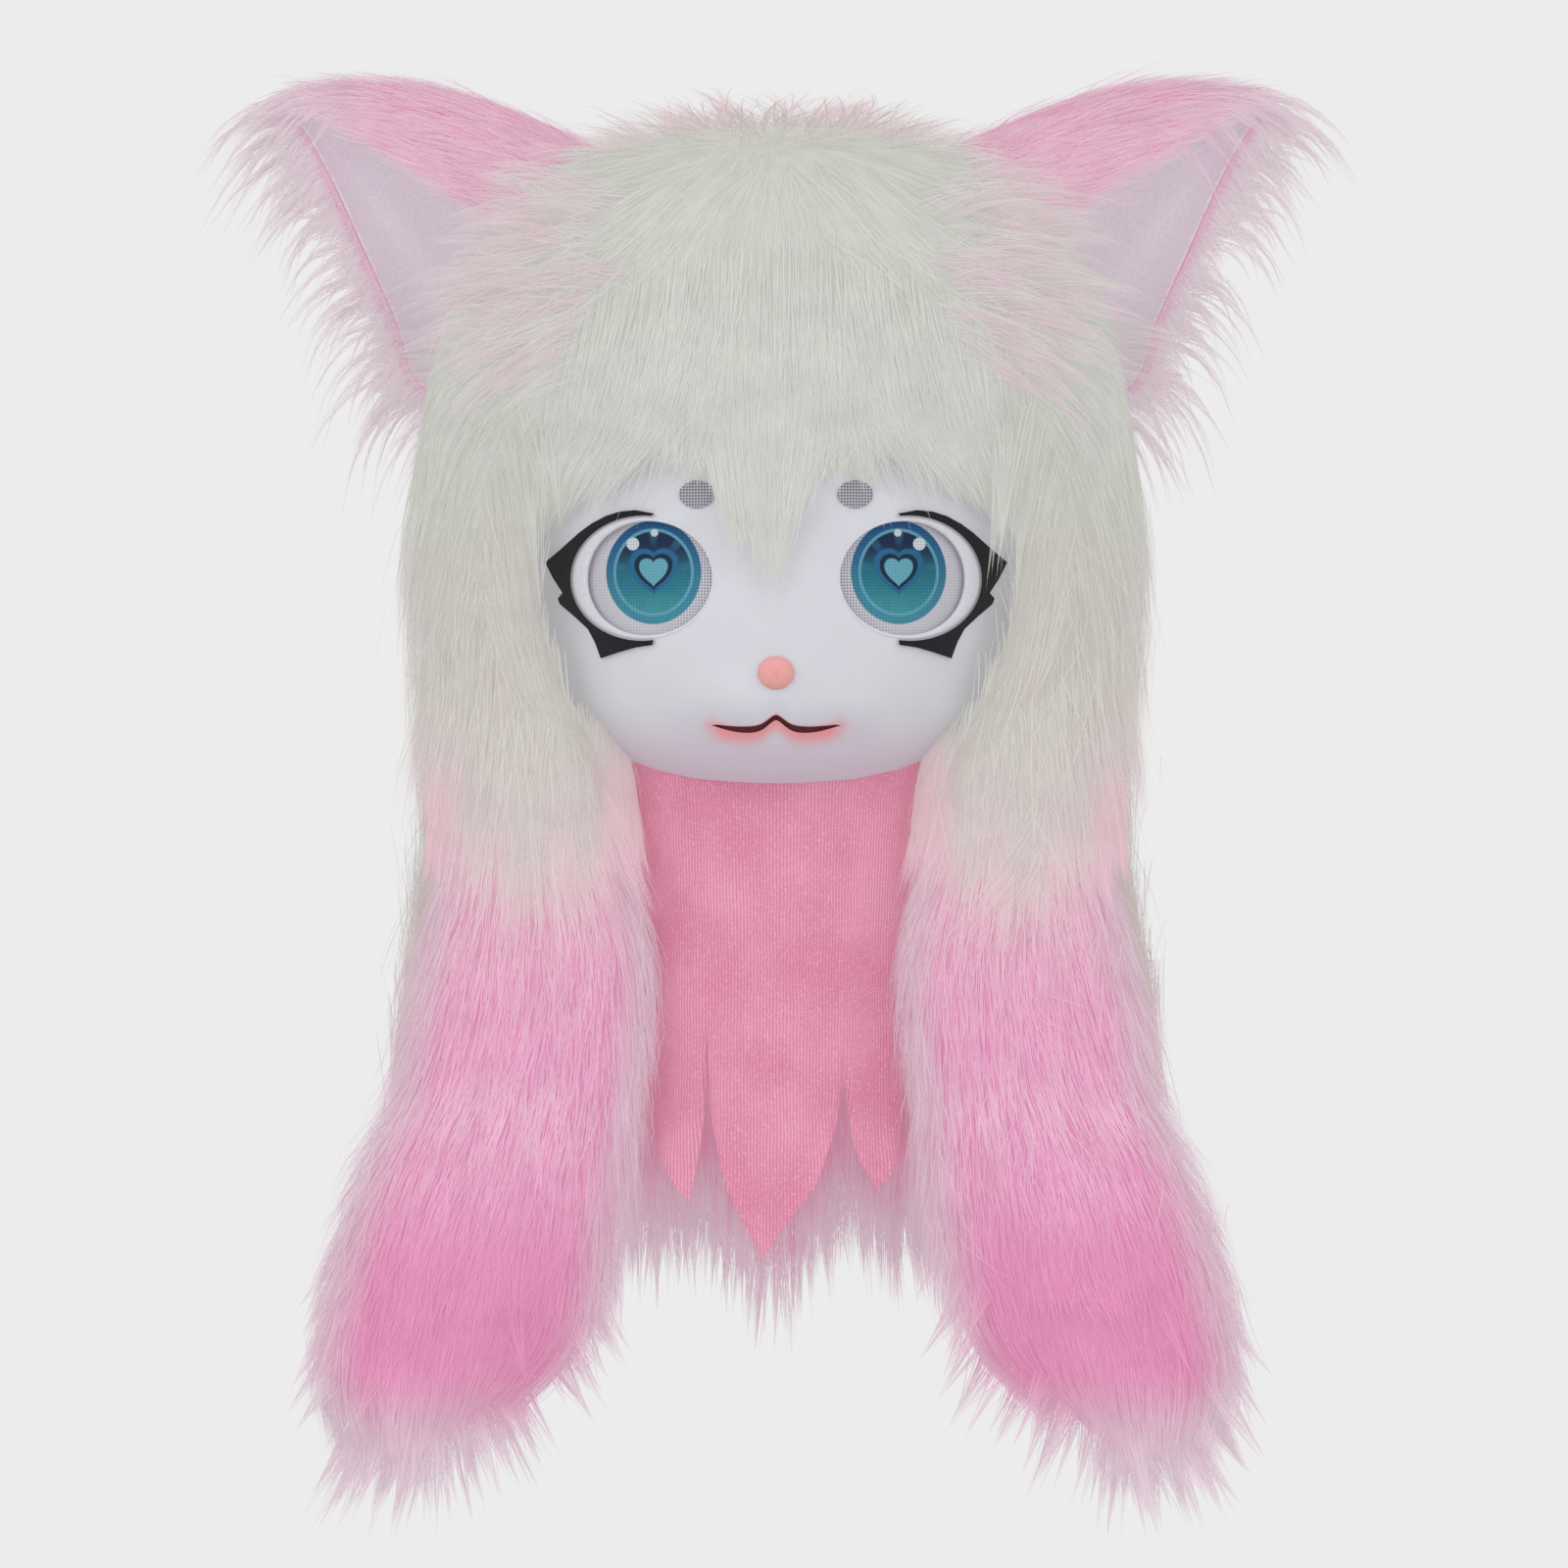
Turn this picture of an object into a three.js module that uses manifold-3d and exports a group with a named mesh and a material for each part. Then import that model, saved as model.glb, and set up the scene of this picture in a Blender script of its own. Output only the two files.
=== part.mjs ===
// A costume head of a cat-like animal, worn over the wearer's own head: a hollow shell with a face mask at its front,
// long fur over the rest, two ears, two long fur tails at the sides, and a neck of cloth in front and fur behind.
// Lengths are in millimetres. X is to the viewer's right, the face looks along -Y, and Z is up.
// The origin is the inside of the crown, where the shell sits on the wearer's head.
import * as THREE from "three";
import { mergeVertices } from "three/addons/utils/BufferGeometryUtils.js";
import Module from "manifold-3d";

const wasm = await Module();
wasm.setup();

// The clearance between pieces that touch
const GAP = 0.3;

// The shell
const HEAD_WIDTH = 260;
const HEAD_HEIGHT = 311;
const HEAD_FRONT = 150;
const HEAD_BACK = 128;
const SHELL_WALL = 4;
const RIM_FRONT_DROP = 326;
const RIM_BACK_DROP = 240;

// The face mask
const MASK_TOP = 122;
const MASK_DEPTH = 115;
const EYE_SPACING = 129;
const EYE_DROP = 205;
const EYE_WIDTH = 73;
const EYE_HEIGHT = 62;
const EYE_RIM_OUTER = 8.3;
const EYE_RIM_INNER = 1.7;
const EYE_RIM_EDGE = 3;
const EYE_RIM_PROUD = 1.5;
const SCREEN_THICK = 1.2;
const SCREEN_LAP = 3.5;
const LASH_THICK = 2;
const BROW_SPACING = 79;
const BROW_DROP = 163;
const BROW_WIDTH = 18;
const BROW_HEIGHT = 14;
const BROW_THICK = 1.2;
const NOSE_DROP = 253;
const NOSE_WIDTH = 18.5;
const NOSE_HEIGHT = 16.5;
const NOSE_PROUD = 7;
const MOUTH_DROP = 280;
const MOUTH_WIDTH = 60;
const MOUTH_OPEN = 3.4;
const MOUTH_LAP = 4;

// The fur on the head
const HAIR_TOP = 31;
const HAIR_SIDE = 57;
const HAIR_FRONT = 16;
const HAIR_BACK = 38;
const HAIR_HEM = 266;
const FACE_WIDTH = 250;
const FRINGE_THICK = 14;
const FRINGE_BAND = 20;
const FRINGE_DROP = 36;
const FORELOCK_DROP = 84;
const HAIR_LOCK = 60;
const HAIR_LOCK_WIDTH = 34;
const HAIR_LOCK_DEPTH = 11;

// The ears
const EAR_LENGTH = 140;
const EAR_UPPER = 72;
const EAR_LOWER = 70;
const EAR_DEPTH = 45;
const EAR_CURL = 30;
const EAR_WALL = 10;
const EAR_EDGE = 3.5;
const EAR_LINING = 2;
const EAR_LEAN = 50;
const EAR_OUT = 138;
const EAR_DROP = 51;
const EAR_BACK = 12;
const EAR_HAIR = 52;
const EAR_HAIR_WIDTH = 15;
const EAR_HAIR_DEPTH = 6;
const EAR_HAIR_TURN = 150;

// The side tails and the white hair over their tops
const TAIL_LENGTH = 390;
const TAIL_WIDTH = 134;
const TAIL_DEPTH = 92;
const TAIL_OUT = 125;
const TAIL_SPLAY = 54;
const TAIL_FRONT = 62;
const TAIL_LOCK = 42;
const TAIL_LOCK_WIDTH = 26;
const TAIL_LOCK_DEPTH = 11;
const SLEEVE_LENGTH = 80;
const SLEEVE_THICK = 12;
const SLEEVE_LOCK = 58;
const SLEEVE_LOCK_WIDTH = 28;

// The neck
const NECK_DROP = 272;
const NECK_WIDTH = 190;
const NECK_DEPTH = 200;
const BIB_THICK = 1.6;
const BIB_LENGTH = 279;
const NECK_FUR_THICK = 14;
const NECK_FUR_LENGTH = 240;
const NECK_FUR_LOCK = 108;
const NECK_FUR_LOCK_WIDTH = 34;
const NECK_BACK = 8;

// The white hair behind
const BACK_HAIR_THICK = 22;
const BACK_HAIR_LENGTH = 190;
const BACK_HAIR_WIDTH = 396;
const BACK_HAIR_LOCK = 42;
const BACK_HAIR_LOCK_WIDTH = 40;

// Facets
const HEAD_SIDES = 24;
const FUR_SIDES = 20;
const TAIL_SIDES = 10;
const NECK_SIDES = 20;
const LOCK_SIDES = 4;
const EYE_SIDES = 20;
const WELD = 0.04;

const CROWN_Z = SHELL_WALL;
const CHIN_Z = CROWN_Z - HEAD_HEIGHT;
const HEM_Z = CROWN_Z - HAIR_HEM;
const FAR = 1000;
const RAD = Math.PI / 180;

// Tables of sections. Their lengths are shares of the sizes above.

// The shell from crown to chin. down is the share of its height.
const HEAD_ROWS = [
  { down: 0.008, wide: 0.16, front: 0.13, back: 0.15 },
  { down: 0.05, wide: 0.42, front: 0.38, back: 0.42 },
  { down: 0.12, wide: 0.64, front: 0.6, back: 0.66 },
  { down: 0.22, wide: 0.82, front: 0.8, back: 0.86 },
  { down: 0.34, wide: 0.94, front: 0.93, back: 0.97 },
  { down: 0.47, wide: 1.0, front: 0.985, back: 1.0 },
  { down: 0.6, wide: 0.995, front: 1.0, back: 0.95 },
  { down: 0.69, wide: 0.955, front: 0.995, back: 0.87 },
  { down: 0.78, wide: 0.89, front: 0.975, back: 0.76 },
  { down: 0.86, wide: 0.81, front: 0.94, back: 0.62 },
  { down: 0.92, wide: 0.69, front: 0.885, back: 0.47 },
  { down: 0.965, wide: 0.54, front: 0.8, back: 0.3 },
  { down: 0.99, wide: 0.33, front: 0.7, back: 0.08 },
];

// Bumps and hollows of the face. x and across are shares of the half width, down and high of the height, and out is in
// shares of the reach to the front.
const RELIEF_ROWS = [
  { x: 0, down: 0.865, across: 0.29, high: 0.085, out: 0.055 },
  { x: 0.52, down: 0.83, across: 0.3, high: 0.09, out: 0.02 },
  { x: 0.5, down: 0.645, across: 0.3, high: 0.1, out: -0.022 },
];

// The outside of the head's fur. down runs from its top to its hem, and the rest are shares of its reach each way.
const FUR_ROWS = [
  { down: 0.007, wide: 0.21, front: 0.17, back: 0.18 },
  { down: 0.03, wide: 0.38, front: 0.37, back: 0.38 },
  { down: 0.08, wide: 0.56, front: 0.59, back: 0.61 },
  { down: 0.16, wide: 0.73, front: 0.75, back: 0.77 },
  { down: 0.29, wide: 0.86, front: 0.88, back: 0.89 },
  { down: 0.45, wide: 0.95, front: 0.965, back: 0.975 },
  { down: 0.6, wide: 0.995, front: 0.89, back: 1.0 },
  { down: 0.75, wide: 1.0, front: 0.77, back: 0.99 },
  { down: 0.88, wide: 0.98, front: 0.71, back: 0.96 },
  { down: 1.0, wide: 0.95, front: 0.66, back: 0.915 },
];

// The ear from root to tip. upper, lower, depth, curl and wall are shares of the sizes of the same names.
const EAR_ROWS = [
  { along: -0.42, upper: 0.62, lower: 0.6, depth: 0.8, curl: 0.6, wall: 1.0 },
  { along: 0.0, upper: 1.0, lower: 1.0, depth: 1.0, curl: 1.0, wall: 1.0 },
  { along: 0.25, upper: 0.91, lower: 0.74, depth: 0.9, curl: 0.93, wall: 0.95 },
  { along: 0.5, upper: 0.73, lower: 0.5, depth: 0.68, curl: 0.8, wall: 0.85 },
  { along: 0.75, upper: 0.46, lower: 0.26, depth: 0.42, curl: 0.55, wall: 0.7 },
  { along: 0.93, upper: 0.2, lower: 0.12, depth: 0.2, curl: 0.26, wall: 0.5 },
  { along: 1.02, upper: 0.07, lower: 0.07, depth: 0.09, curl: 0.1, wall: 0.3 },
];

// A side tail from the hem of the head's fur down. out is the share of the splay, middle of the reach to the front.
const TAIL_ROWS = [
  { down: 0.0, out: 0.0, wide: 0.54, deep: 0.74, middle: 0.8 },
  { down: 0.1, out: 0.0, wide: 0.59, deep: 0.82, middle: 0.92 },
  { down: 0.21, out: -0.04, wide: 0.64, deep: 0.84, middle: 1.0 },
  { down: 0.32, out: -0.05, wide: 0.79, deep: 0.87, middle: 1.05 },
  { down: 0.42, out: 0.02, wide: 0.84, deep: 0.9, middle: 1.06 },
  { down: 0.52, out: 0.14, wide: 0.86, deep: 0.88, middle: 1.06 },
  { down: 0.63, out: 0.35, wide: 0.96, deep: 1.0, middle: 1.06 },
  { down: 0.76, out: 0.57, wide: 1.0, deep: 1.0, middle: 1.06 },
  { down: 0.87, out: 0.74, wide: 0.99, deep: 0.96, middle: 1.06 },
  { down: 0.94, out: 0.86, wide: 0.84, deep: 0.82, middle: 1.06 },
  { down: 1.0, out: 1.0, wide: 0.52, deep: 0.5, middle: 1.06 },
];

// The neck's cloth and fur, from the shell's rim down. down is the share of the bib's length.
const NECK_ROWS = [
  { down: -0.3, wide: 1.0, deep: 1.0 },
  { down: 0.0, wide: 1.0, deep: 0.98 },
  { down: 0.18, wide: 0.93, deep: 0.87 },
  { down: 0.42, wide: 0.89, deep: 0.8 },
  { down: 0.7, wide: 0.89, deep: 0.78 },
  { down: 1.1, wide: 0.91, deep: 0.78 },
];

// The white hair behind, from the hem of the head's fur down
const BACK_HAIR_ROWS = [
  { down: 0.0, wide: 0.89, deep: 1.0 },
  { down: 0.35, wide: 0.91, deep: 0.95 },
  { down: 0.7, wide: 0.96, deep: 0.85 },
  { down: 1.0, wide: 1.0, deep: 0.76 },
];

// The lash round an eye's outer side, from the top round the corner to the bottom. x and z are shares of the eye's
// width and height from its centre, and x points away from the nose.
const LASH_POINTS = [
  { x: -0.08, z: 0.525 },
  { x: 0.05, z: 0.55 },
  { x: 0.26, z: 0.51 },
  { x: 0.445, z: 0.38 },
  { x: 0.59, z: 0.235 },
  { x: 0.69, z: 0.145 },
  { x: 0.635, z: 0.016 },
  { x: 0.565, z: -0.11 },
  { x: 0.6, z: -0.155 },
  { x: 0.585, z: -0.2 },
  { x: 0.485, z: -0.3 },
  { x: 0.395, z: -0.39 },
  { x: 0.305, z: -0.53 },
  { x: 0.24, z: -0.65 },
  { x: 0.05, z: -0.565 },
  { x: -0.07, z: -0.495 },
  { x: -0.045, z: -0.455 },
  { x: 0.1, z: -0.3 },
  { x: 0.1, z: 0.3 },
];

// The bib's cut hem, from the viewer's right to the left. x is the share of the neck's half width, down of the bib's
// length.
const HEM_POINTS = [
  { x: 1.2, down: 0.67 },
  { x: 0.82, down: 0.715 },
  { x: 0.54, down: 0.876 },
  { x: 0.43, down: 0.79 },
  { x: 0.37, down: 0.67 },
  { x: 0.32, down: 0.76 },
  { x: 0.2, down: 0.867 },
  { x: -0.08, down: 1.0 },
  { x: -0.27, down: 0.86 },
  { x: -0.355, down: 0.74 },
  { x: -0.375, down: 0.63 },
  { x: -0.41, down: 0.77 },
  { x: -0.47, down: 0.9 },
  { x: -0.62, down: 0.81 },
  { x: -0.82, down: 0.715 },
  { x: -1.2, down: 0.67 },
];

// The fringe's locks across the forehead. x is the share of the face's half width, drop of the fringe's drop, sweep the
// sideways share of the drop.
const FRINGE_LOCKS = [
  { x: -0.93, drop: 1.4, sweep: -0.05 },
  { x: -0.78, drop: 1.1, sweep: -0.1 },
  { x: -0.62, drop: 0.95, sweep: -0.35 },
  { x: -0.46, drop: 0.85, sweep: -0.3 },
  { x: -0.31, drop: 0.85, sweep: -0.2 },
  { x: 0.33, drop: 0.8, sweep: 0.2 },
  { x: 0.48, drop: 0.8, sweep: 0.3 },
  { x: 0.63, drop: 0.9, sweep: 0.35 },
  { x: 0.78, drop: 1.1, sweep: 0.15 },
  { x: 0.93, drop: 1.45, sweep: 0.05 },
];

// The forelock's locks between the eyes. x is the share of the face's half width, drop of the forelock's drop.
const FORELOCKS = [
  { x: -0.18, drop: 0.62, sweep: -0.08 },
  { x: -0.04, drop: 1.0, sweep: -0.06 },
  { x: 0.1, drop: 0.84, sweep: 0.04 },
  { x: 0.22, drop: 0.56, sweep: 0.12 },
];

// The tuft at an ear's tip. out and up are shares of the ear's hair.
const TIP_LOCKS = [
  { out: 0.98, up: -0.5 },
  { out: 0.92, up: -0.82 },
  { out: 0.72, up: -1.08 },
  { out: 0.5, up: -1.1 },
];

// Tools

const point = (x, y, z) => new THREE.Vector3(x, y, z);

// A table's column at a place between its rows, on a smooth curve through them
function valueAt(rows, key, column, at) {
  const last = rows.length - 1;
  let i = 0;
  while (i < last - 1 && at > rows[i + 1][key]) i += 1;
  const slope = (j) => {
    const a = rows[Math.max(0, j - 1)];
    const b = rows[Math.min(last, j + 1)];
    return (b[column] - a[column]) / (b[key] - a[key]);
  };
  const span = rows[i + 1][key] - rows[i][key];
  const t = THREE.MathUtils.clamp((at - rows[i][key]) / span, 0, 1);
  const t2 = t * t;
  const t3 = t2 * t;
  return (
    (2 * t3 - 3 * t2 + 1) * rows[i][column] +
    (t3 - 2 * t2 + t) * span * slope(i) +
    (3 * t2 - 2 * t3) * rows[i + 1][column] +
    (t3 - t2) * span * slope(i + 1)
  );
}

// A closed surface from its points and triangles, turned to face out
function closedSurface(points, faces) {
  let volume = 0;
  for (const [a, b, c] of faces) {
    volume += points[a].dot(points[b].clone().cross(points[c]));
  }
  const turned = volume < 0 ? faces.map(([a, b, c]) => [a, c, b]) : faces;
  const geometry = new THREE.BufferGeometry();
  geometry.setFromPoints(points);
  geometry.setIndex(turned.flat());
  return geometry;
}

// Rings of equal numbers of points, joined side by side and closed by a cap at each end. poles are the caps' middle
// points; a cap with none is filled as a flat outline. The facets on the left mirror those on the right.
function loft(rings, poles = [null, null]) {
  const n = rings[0].length;
  const points = rings.flat();
  const faces = [];
  for (let i = 0; i + 1 < rings.length; i += 1) {
    for (let j = 0; j < n; j += 1) {
      const a = i * n + j;
      const b = i * n + ((j + 1) % n);
      if (points[a].x + points[b].x > 0) faces.push([a, b, b + n], [a, b + n, a + n]);
      else faces.push([b, b + n, a + n], [b, a + n, a]);
    }
  }
  poles.forEach((pole, end) => {
    const start = end ? (rings.length - 1) * n : 0;
    const turn = (a, b, c) => (end ? [a, b, c] : [a, c, b]);
    if (pole) {
      const middle = points.push(pole) - 1;
      for (let j = 0; j < n; j += 1) {
        faces.push(turn(middle, start + j, start + ((j + 1) % n)));
      }
    } else {
      for (const [a, b, c] of flatFill(rings[end ? rings.length - 1 : 0])) {
        faces.push(turn(start + a, start + b, start + c));
      }
    }
  });
  return closedSurface(points, faces);
}

// Triangles that fill a flat outline, turned the way the outline runs
function flatFill(ring) {
  const normal = point(0, 0, 0);
  ring.forEach((p, i) => normal.add(p.clone().cross(ring[(i + 1) % ring.length])));
  normal.normalize();
  const across = ring[1].clone().sub(ring[0]).normalize();
  const up = normal.clone().cross(across);
  const flat = ring.map((p) => new THREE.Vector2(p.dot(across), p.dot(up)));
  return THREE.ShapeUtils.triangulateShape(flat, []);
}

// The same surface moved out along its normals
function moved(geometry, distance) {
  if (!distance) return geometry;
  const copy = geometry.clone();
  copy.computeVertexNormals();
  const place = copy.getAttribute("position");
  const normal = copy.getAttribute("normal");
  for (let i = 0; i < place.count; i += 1) {
    place.setXYZ(
      i,
      place.getX(i) + normal.getX(i) * distance,
      place.getY(i) + normal.getY(i) * distance,
      place.getZ(i) + normal.getZ(i) * distance,
    );
  }
  return copy;
}

function toSolid(geometry) {
  const bare = new THREE.BufferGeometry();
  bare.setAttribute("position", geometry.getAttribute("position"));
  bare.setIndex(geometry.index);
  const merged = mergeVertices(bare, 1e-4);
  return new wasm.Manifold(
    new wasm.Mesh({
      numProp: 3,
      vertProperties: new Float32Array(merged.getAttribute("position").array),
      triVerts: new Uint32Array(merged.index.array),
    }),
  );
}

function toGeometry(solid) {
  const mesh = solid.getMesh();
  const geometry = new THREE.BufferGeometry();
  geometry.setAttribute("position", new THREE.BufferAttribute(mesh.vertProperties, 3));
  geometry.setIndex(new THREE.BufferAttribute(mesh.triVerts, 1));
  geometry.computeVertexNormals();
  return geometry;
}

const joined = (solids) => solids.reduce((whole, solid) => whole.add(solid));

// The largest body of a cut solid
const largestBody = (solid) =>
  solid.decompose().reduce((a, b) => (b.volume() > a.volume() ? b : a));

const mirrored = (solid) => solid.mirror([1, 0, 0]);

// A front outline, with x and z for its axes, run from one depth to another
function frontPrism(outline, nearY, farY) {
  const shape = new THREE.Shape(outline.map((p) => new THREE.Vector2(p.x, p.z)));
  const geometry = new THREE.ExtrudeGeometry(shape, {
    depth: farY - nearY,
    bevelEnabled: false,
  });
  geometry.rotateX(Math.PI / 2);
  geometry.translate(0, farY, 0);
  return toSolid(geometry);
}

function ellipse(x, z, halfWidth, halfHeight, sides = 28) {
  return Array.from({ length: sides }, (_, i) => {
    const turn = (i / sides) * 2 * Math.PI;
    return { x: x + halfWidth * Math.cos(turn), z: z + halfHeight * Math.sin(turn) };
  });
}

function block(x0, x1, y0, y1, z0, z1) {
  const box = new THREE.BoxGeometry(x1 - x0, y1 - y0, z1 - z0);
  box.translate((x0 + x1) / 2, (y0 + y1) / 2, (z0 + z1) / 2);
  return toSolid(box);
}

// A lock of hair: a flat tapered horn along a bent line. facing is the way its flat side looks, and grow makes room
// round it for a piece that it passes through.
function lock({ from, to, bow, width, depth, facing, grow = 0 }) {
  const line = new THREE.QuadraticBezierCurve3(from, bow, to);
  const room = grow * 4;
  const root = from.clone().addScaledVector(line.getTangent(0), -room);
  const tip = to.clone().addScaledVector(line.getTangent(1), room);
  const stations = [
    { at: 0.05, size: 0.85 },
    { at: 0.6, size: 0.9 },
  ];
  const rings = stations.map(({ at, size }) => {
    const middle = line.getPoint(at);
    const side = line.getTangent(at).cross(facing).normalize();
    const out = side.clone().cross(line.getTangent(at)).normalize();
    return Array.from({ length: LOCK_SIDES }, (_, i) => {
      const turn = (i / LOCK_SIDES) * 2 * Math.PI;
      return middle
        .clone()
        .addScaledVector(side, Math.cos(turn) * ((size * width) / 2 + grow * 2))
        .addScaledVector(out, Math.sin(turn) * ((size * depth) / 2 + grow * 2));
    });
  });
  return toSolid(loft(rings, [root, tip]));
}

// The shell's form

function relief(x, z) {
  const half = HEAD_WIDTH / 2;
  return RELIEF_ROWS.reduce((sum, row) => {
    const dz = (CROWN_Z - z) / HEAD_HEIGHT - row.down;
    const dx = Math.abs(x) / half - row.x;
    const near = Math.exp(-((dx / row.across) ** 2) - (dz / row.high) ** 2);
    return sum + row.out * HEAD_FRONT * near;
  }, 0);
}

function headSection(down) {
  const front = HEAD_FRONT * valueAt(HEAD_ROWS, "down", "front", down);
  const back = HEAD_BACK * valueAt(HEAD_ROWS, "down", "back", down);
  return {
    wide: (HEAD_WIDTH / 2) * valueAt(HEAD_ROWS, "down", "wide", down),
    middle: (back - front) / 2,
    deep: (back + front) / 2,
  };
}

// How far back the face's surface is, behind a point of the front view
function faceY(x, z) {
  const section = headSection((CROWN_Z - z) / HEAD_HEIGHT);
  const share = Math.sqrt(Math.max(0, 1 - (x / section.wide) ** 2));
  return section.middle - (section.deep + relief(x, z)) * share;
}

function headGeometry() {
  const rings = HEAD_ROWS.map(({ down }) => {
    const section = headSection(down);
    const z = CROWN_Z - down * HEAD_HEIGHT;
    return Array.from({ length: HEAD_SIDES }, (_, i) => {
      const turn = (i / HEAD_SIDES) * 2 * Math.PI;
      const x = section.wide * Math.cos(turn);
      const bump = Math.max(0, -Math.sin(turn)) * relief(x, z);
      return point(x, section.middle + section.deep * Math.sin(turn) - bump, z);
    });
  });
  const top = point(0, headSection(HEAD_ROWS[0].down).middle, CROWN_Z);
  const foot = point(0, headSection(HEAD_ROWS.at(-1).down).middle, CHIN_Z);
  return loft(rings, [top, foot]);
}

const headSurface = headGeometry();
const headSolid = (out) => toSolid(moved(headSurface, out));
const headLayer = (inside, outside) => headSolid(outside).subtract(headSolid(inside));

// The half space under the neck's slanting rim, lowered by a distance
function belowNeck(lowered) {
  const front = { y: -HEAD_FRONT, z: CROWN_Z - RIM_FRONT_DROP };
  const back = { y: HEAD_BACK, z: CROWN_Z - RIM_BACK_DROP };
  const rise = (back.z - front.z) / (back.y - front.y);
  const at = (y) => front.z + rise * (y - front.y) - lowered;
  const outline = [
    point(-FAR, -FAR, at(-FAR)),
    point(-FAR, FAR, at(FAR)),
    point(-FAR, FAR, -2 * FAR),
    point(-FAR, -FAR, -2 * FAR),
  ];
  const far = outline.map((p) => point(FAR, p.y, p.z));
  return toSolid(loft([outline, far]));
}

// The face mask and the shell

const maskBackY = MASK_DEPTH - HEAD_FRONT;
const maskTopZ = CROWN_Z - MASK_TOP;
const eyeZ = CROWN_Z - EYE_DROP;
const mouthZ = CROWN_Z - MOUTH_DROP;

const eyeOutline = (grow) =>
  ellipse(EYE_SPACING / 2 + EYE_RIM_EDGE, eyeZ, EYE_WIDTH / 2 + grow, EYE_HEIGHT / 2 + grow, EYE_SIDES);

const bothEyes = (solid) => solid.add(mirrored(solid));

// The mouth's slit: two shallow bows that meet in a peak under the nose
function mouthOutline() {
  const half = MOUTH_WIDTH / 2;
  const bow = (x) => -0.55 * MOUTH_OPEN * Math.sin(Math.PI * Math.min(1, Math.abs(x) / half / 0.92));
  const peak = (x) => 1.35 * MOUTH_OPEN * Math.exp(-((x / half / 0.2) ** 2));
  const open = (x) => (MOUTH_OPEN / 2) * Math.sqrt(Math.max(0.01, 1 - (x / half) ** 2));
  const steps = 20;
  const line = Array.from({ length: steps + 1 }, (_, i) => -half + (i / steps) * MOUTH_WIDTH);
  const lower = line.map((x) => ({ x, z: mouthZ + bow(x) + 0.55 * peak(x) - open(x) }));
  const upper = line.map((x) => ({ x, z: mouthZ + bow(x) + peak(x) + open(x) }));
  return [...lower, ...upper.reverse()];
}

const wall = headLayer(-SHELL_WALL, 0).subtract(belowNeck(0));

function faceMask() {
  const front = block(-FAR, FAR, -FAR, maskBackY, -FAR, maskTopZ);
  const eyeHole = frontPrism(eyeOutline(GAP), -FAR, maskBackY);
  const mouth = frontPrism(mouthOutline(), -FAR, maskBackY);
  return wall.intersect(front).subtract(bothEyes(eyeHole)).subtract(mouth);
}

function hoodShell() {
  return wall.subtract(block(-FAR, FAR, -FAR, maskBackY + GAP, -FAR, maskTopZ + GAP));
}

// The rim of the eye on the viewer's right. It is broad at the outer side and thin by the nose.
function eyeRim() {
  const inner = ellipse(
    EYE_SPACING / 2 + EYE_RIM_EDGE - (EYE_RIM_OUTER - EYE_RIM_INNER) / 2,
    eyeZ,
    EYE_WIDTH / 2 - (EYE_RIM_OUTER + EYE_RIM_INNER) / 2,
    EYE_HEIGHT / 2 - EYE_RIM_EDGE,
    EYE_SIDES,
  );
  return headLayer(-SHELL_WALL, EYE_RIM_PROUD)
    .intersect(frontPrism(eyeOutline(0), -FAR, maskBackY))
    .subtract(frontPrism(inner, -FAR, maskBackY));
}

function eyeScreen() {
  const front = -SHELL_WALL - GAP;
  return headLayer(front - SCREEN_THICK, front).intersect(
    frontPrism(eyeOutline(SCREEN_LAP), -FAR, maskBackY),
  );
}

function lash() {
  const x = EYE_SPACING / 2 + EYE_RIM_EDGE;
  const outline = LASH_POINTS.map((p) => ({
    x: x + p.x * EYE_WIDTH,
    z: eyeZ + p.z * EYE_HEIGHT,
  }));
  return headLayer(GAP, GAP + LASH_THICK)
    .intersect(frontPrism(outline, -FAR, maskBackY))
    .intersect(frontPrism(faceOutline(-GAP), -FAR, maskBackY))
    .subtract(frontPrism(eyeOutline(GAP), -FAR, maskBackY));
}

function brow() {
  const outline = ellipse(
    BROW_SPACING / 2,
    CROWN_Z - BROW_DROP,
    BROW_WIDTH / 2,
    BROW_HEIGHT / 2,
    16,
  );
  return headLayer(GAP, GAP + BROW_THICK).intersect(frontPrism(outline, -FAR, maskBackY));
}

function nose() {
  const z = CROWN_Z - NOSE_DROP;
  const ball = new THREE.SphereGeometry(1, 14, 9);
  ball.scale(NOSE_WIDTH / 2, NOSE_PROUD, NOSE_HEIGHT / 2);
  ball.translate(0, faceY(0, z), z);
  return toSolid(ball).subtract(headSolid(GAP));
}

function mouthScreen() {
  const front = -SHELL_WALL - GAP;
  const outline = ellipse(0, mouthZ, MOUTH_WIDTH / 2 + MOUTH_LAP, MOUTH_OPEN + MOUTH_LAP, 20);
  return headLayer(front - SCREEN_THICK, front).intersect(
    frontPrism(outline, -FAR, maskBackY),
  );
}

// The fur on the head

const furReach = {
  wide: HEAD_WIDTH / 2 + HAIR_SIDE,
  front: HEAD_FRONT + HAIR_FRONT,
  back: HEAD_BACK + HAIR_BACK,
};

function furPoint(down, turn) {
  const front = furReach.front * valueAt(FUR_ROWS, "down", "front", down);
  const back = furReach.back * valueAt(FUR_ROWS, "down", "back", down);
  const wide = furReach.wide * valueAt(FUR_ROWS, "down", "wide", down);
  const z = CROWN_Z + HAIR_TOP - down * (HAIR_TOP + HAIR_HEM);
  const deep = (back + front) / 2;
  return point(wide * Math.cos(turn), (back - front) / 2 + deep * Math.sin(turn), z);
}

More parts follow.
